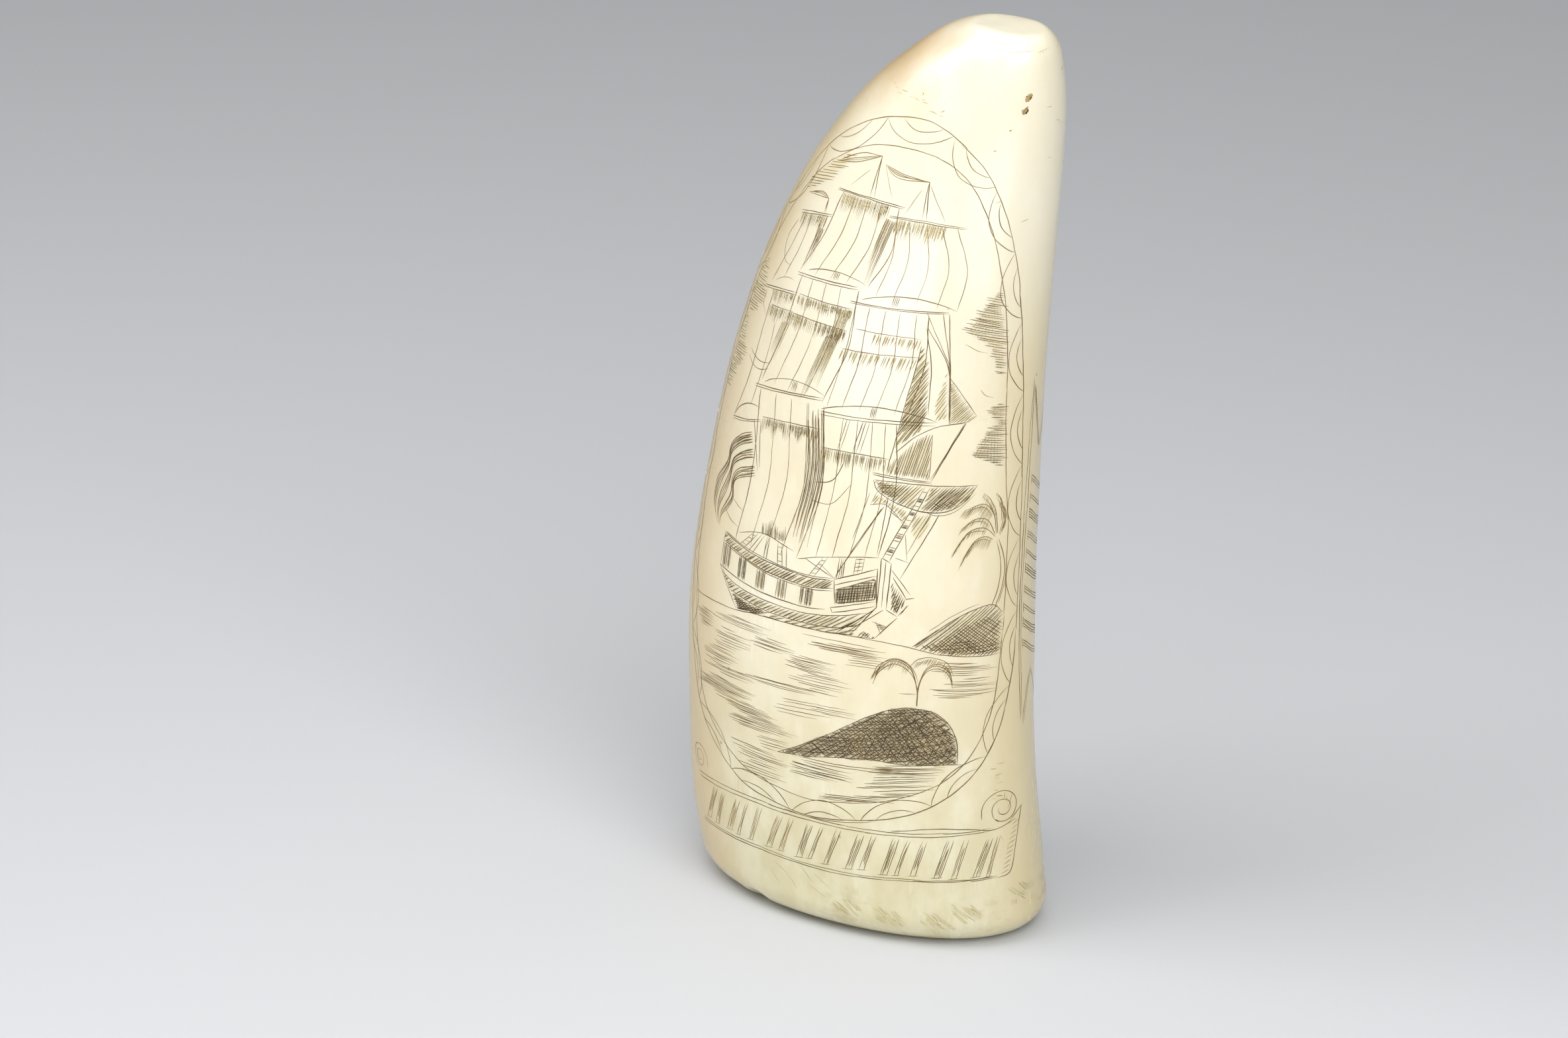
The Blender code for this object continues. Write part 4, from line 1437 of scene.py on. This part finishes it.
for k in range(11):
    y = 21 - 0.78 * k
    cut([(34.4 - 0.27 * k, y), (33 - 0.27 * k, y - 0.5)], 0.15, 0.4, (0.2, 0.8))

# The row of strokes: slanted stems, each a few lines side by side, in pairs and singly
at = -23.8
kind = 0
while at < 29.4:
    lean = 2.7 + needle.uniform(-0.3, 0.3)
    foot = 12.8 + needle.uniform(-0.2, 0.2)
    head = 19.2 + needle.uniform(-0.2, 0.2)
    tone = 0.28 if at > -4 else 0.5
    lines = (5, 4, 5, 3, 4)[kind % 5]
    for k in range(lines):
        shift = 0.25 * k
        short = [needle.uniform(0, 1.6) if 0 < k < lines - 1 else 0 for _ in range(2)]
        ends = [(at + shift + lean * (y - foot) / 6.4, y) for y in (foot + short[0], head - short[1])]
        cut(ends, 0.17, tone, (0.4, 0.9), 0.06)
    sill = [(at - 0.5, foot - 0.1), (at + 0.25 * lines + 0.2, foot + 0.1)]
    cut(sill, 0.15, tone + 0.08, (0.2, 0.4), 0.03)
    at += (2.6, 3.3, 2.2, 2.7, 3.8)[kind % 5] + needle.uniform(-0.2, 0.2)
    kind += 1
engrave("engraved_root_banner")


# The banner up the hollow side: a narrow ribbon with swallow-tailed ends and a column of
# slanted double strokes, cut less deep than the picture.

needle.seed(83)

outline(curve((30.9, 95.4), (31.8, 84), (32.8, 70), (33.9, 56), (35.6, 37.2)), 0.2, 0.28)
outline(curve((31.2, 93.8), (32.4, 82), (33.5, 68), (34.5, 54), (35.9, 38.6)), 0.18, 0.34)
for corners in (((31.2, 94.4), (34.9, 83.4), (37.4, 88.8)), ((35.8, 37.2), (38.2, 45.6), (42.2, 39))):
    for shift in (0, 0.5):
        outline([(x + shift * 0.8, y - shift) for x, y in corners], 0.19, 0.3)
    middle = mix(*corners[:2], 0.5)
    hatch([*corners[:2], (middle[0], middle[1] + 1.6)], 70, 0.4, 0.17, 0.3)
outline(curve((38.8, 88), (40.4, 78), (42, 62), (43.6, 44)), 0.18, 0.36)
at = 79
kind = 0
while at > 50:
    start = 33.6 + (79 - at) * 0.06
    for k in range((3, 2, 4)[kind % 3]):
        drop = 0.42 * k
        stroke = curve((start, at - drop), (start + 3.4, at - drop - 2.4), (start + 7, at - drop - 4.2))
        cut(stroke, 0.2, 0.26, (0.4, 1))
    cut([(start - 0.1, at + 0.4), (start + 0.1, at - 1.6)], 0.17, 0.3, (0.2, 0.4), 0.03)
    at -= (3.1, 2.4, 3.7)[kind % 3]
    kind += 1
engrave("engraved_side_banner")
engrave("rubbed_ink_film", film, lines=films, ridge=0.0, lift=FILM_LIFT)


# Wear: grime in a few pits and scratches at the tip and above the root, and three fresh white
# flecks where the outer edge was knocked. They are not cut on purpose, so they are short and few.

def nicks(middle, reach, count, length, angle, spread, width, tone):
    """Short marks strewn round a place."""
    for _ in range(count):
        x = middle[0] + needle.uniform(-1, 1) * reach[0]
        y = middle[1] + needle.uniform(-1, 1) * reach[1]
        turn = math.radians(angle + needle.uniform(-spread, spread))
        half = length * needle.uniform(0.35, 0.65)
        step = (math.cos(turn) * half, math.sin(turn) * half)
        ends = [(x - step[0], y - step[1]), (x + step[0], y + step[1])]
        cut(ends, width * needle.uniform(0.6, 1.2), tone, (0.15, 0.2), 0.06)


needle.seed(97)

# Two open pits below the tip, with loose specks
for middle in ((12.1, 141.7), (12.8, 139.8)):
    nicks(middle, (0.2, 0.28), 8, 0.72, 90, 70, 0.9, 0.62)
    nicks(middle, (0.3, 0.38), 7, 0.55, 60, 90, 0.46, 0.12)
    nicks((middle[0] + 0.25, middle[1] - 0.3), (0.16, 0.16), 3, 0.5, 20, 60, 0.6, -0.2)
nicks((12.4, 136.7), (0.2, 0.2), 2, 0.42, 0, 60, 0.34, 0.3)
nicks((17.3, 144.6), (0.15, 0.15), 2, 0.42, 20, 30, 0.34, 0.3)
nicks((6, 134), (16, 8), 6, 0.4, 0, 90, 0.3, 0.55)
nicks((20, 130), (5, 10), 6, 1.1, 0, 20, 0.18, 0.6)
nicks((9, 148.4), (8, 0.9), 8, 2, 4, 20, 0.14, 0.9)

# A faint row of dashes over the border
for n in range(13):
    x = -12 + n * 1.12 + needle.uniform(-0.4, 0.4)
    nicks((x, 141 - 0.21 * n), (0.2, 0.5), 1, 1, -4, 14, 0.16, 0.92)

# Flaws along the hollow edge
nicks((30.4, 28.6), (0.8, 4.6), 9, 1.1, 4, 14, 0.2, 0.85)
nicks((31.5, 16), (1, 10), 5, 0.9, 90, 30, 0.2, 0.8)
engrave("grime_in_pits_and_scratches")

# Saw and file marks above the root, with an olive stain rubbed into them
stain = ink_material(
    "olive_stain", (0.12, 0.095, 0.045), (0.26, 0.21, 0.1), (0.43, 0.365, 0.185), (0.6, 0.535, 0.315))
for *middle, count in ((4.3, 5.6, 5), (11.3, 5.2, 9), (18.7, 5.2, 7), (24, 6.6, 7), (33.5, 9, 4)):
    nicks(middle, (2.1, 1), count * 2, 1.8, 134, 7, 0.55, 1.36)
    nicks(middle, (2, 1.1), count, 1.9, 134, 9, 0.24, 0.85)
nicks((-4, 8.6), (6, 1.6), 7, 2.6, 140, 22, 0.2, 1.25)
engrave("stain_in_file_marks", stain)


def chalk_material():
    """Fresh chalky dentine that shows where the polish is broken."""
    material, tree, shader = new_material("fresh_dentine")
    grit = noise(add(tree, "ShaderNodeTexCoord", out="Object"), 3000.0, 2.0)
    blend(grit, (0.86, 0.85, 0.80), (0.97, 0.96, 0.93)).join(shader, "Base Color")
    fade(grit, 0.0, 1.0, 0.85).join(shader, "Roughness")
    bump(grit, 0.4, 0.00003, shader)
    return material


for middle in ((-25.7, 108.7), (-29, 81.2), (-29.6, 70.6)):
    nicks(middle, (0.25, 0.35), 5, 0.55, 70, 40, 0.6, 0.5)
engrave("chipped_flecks", chalk_material())
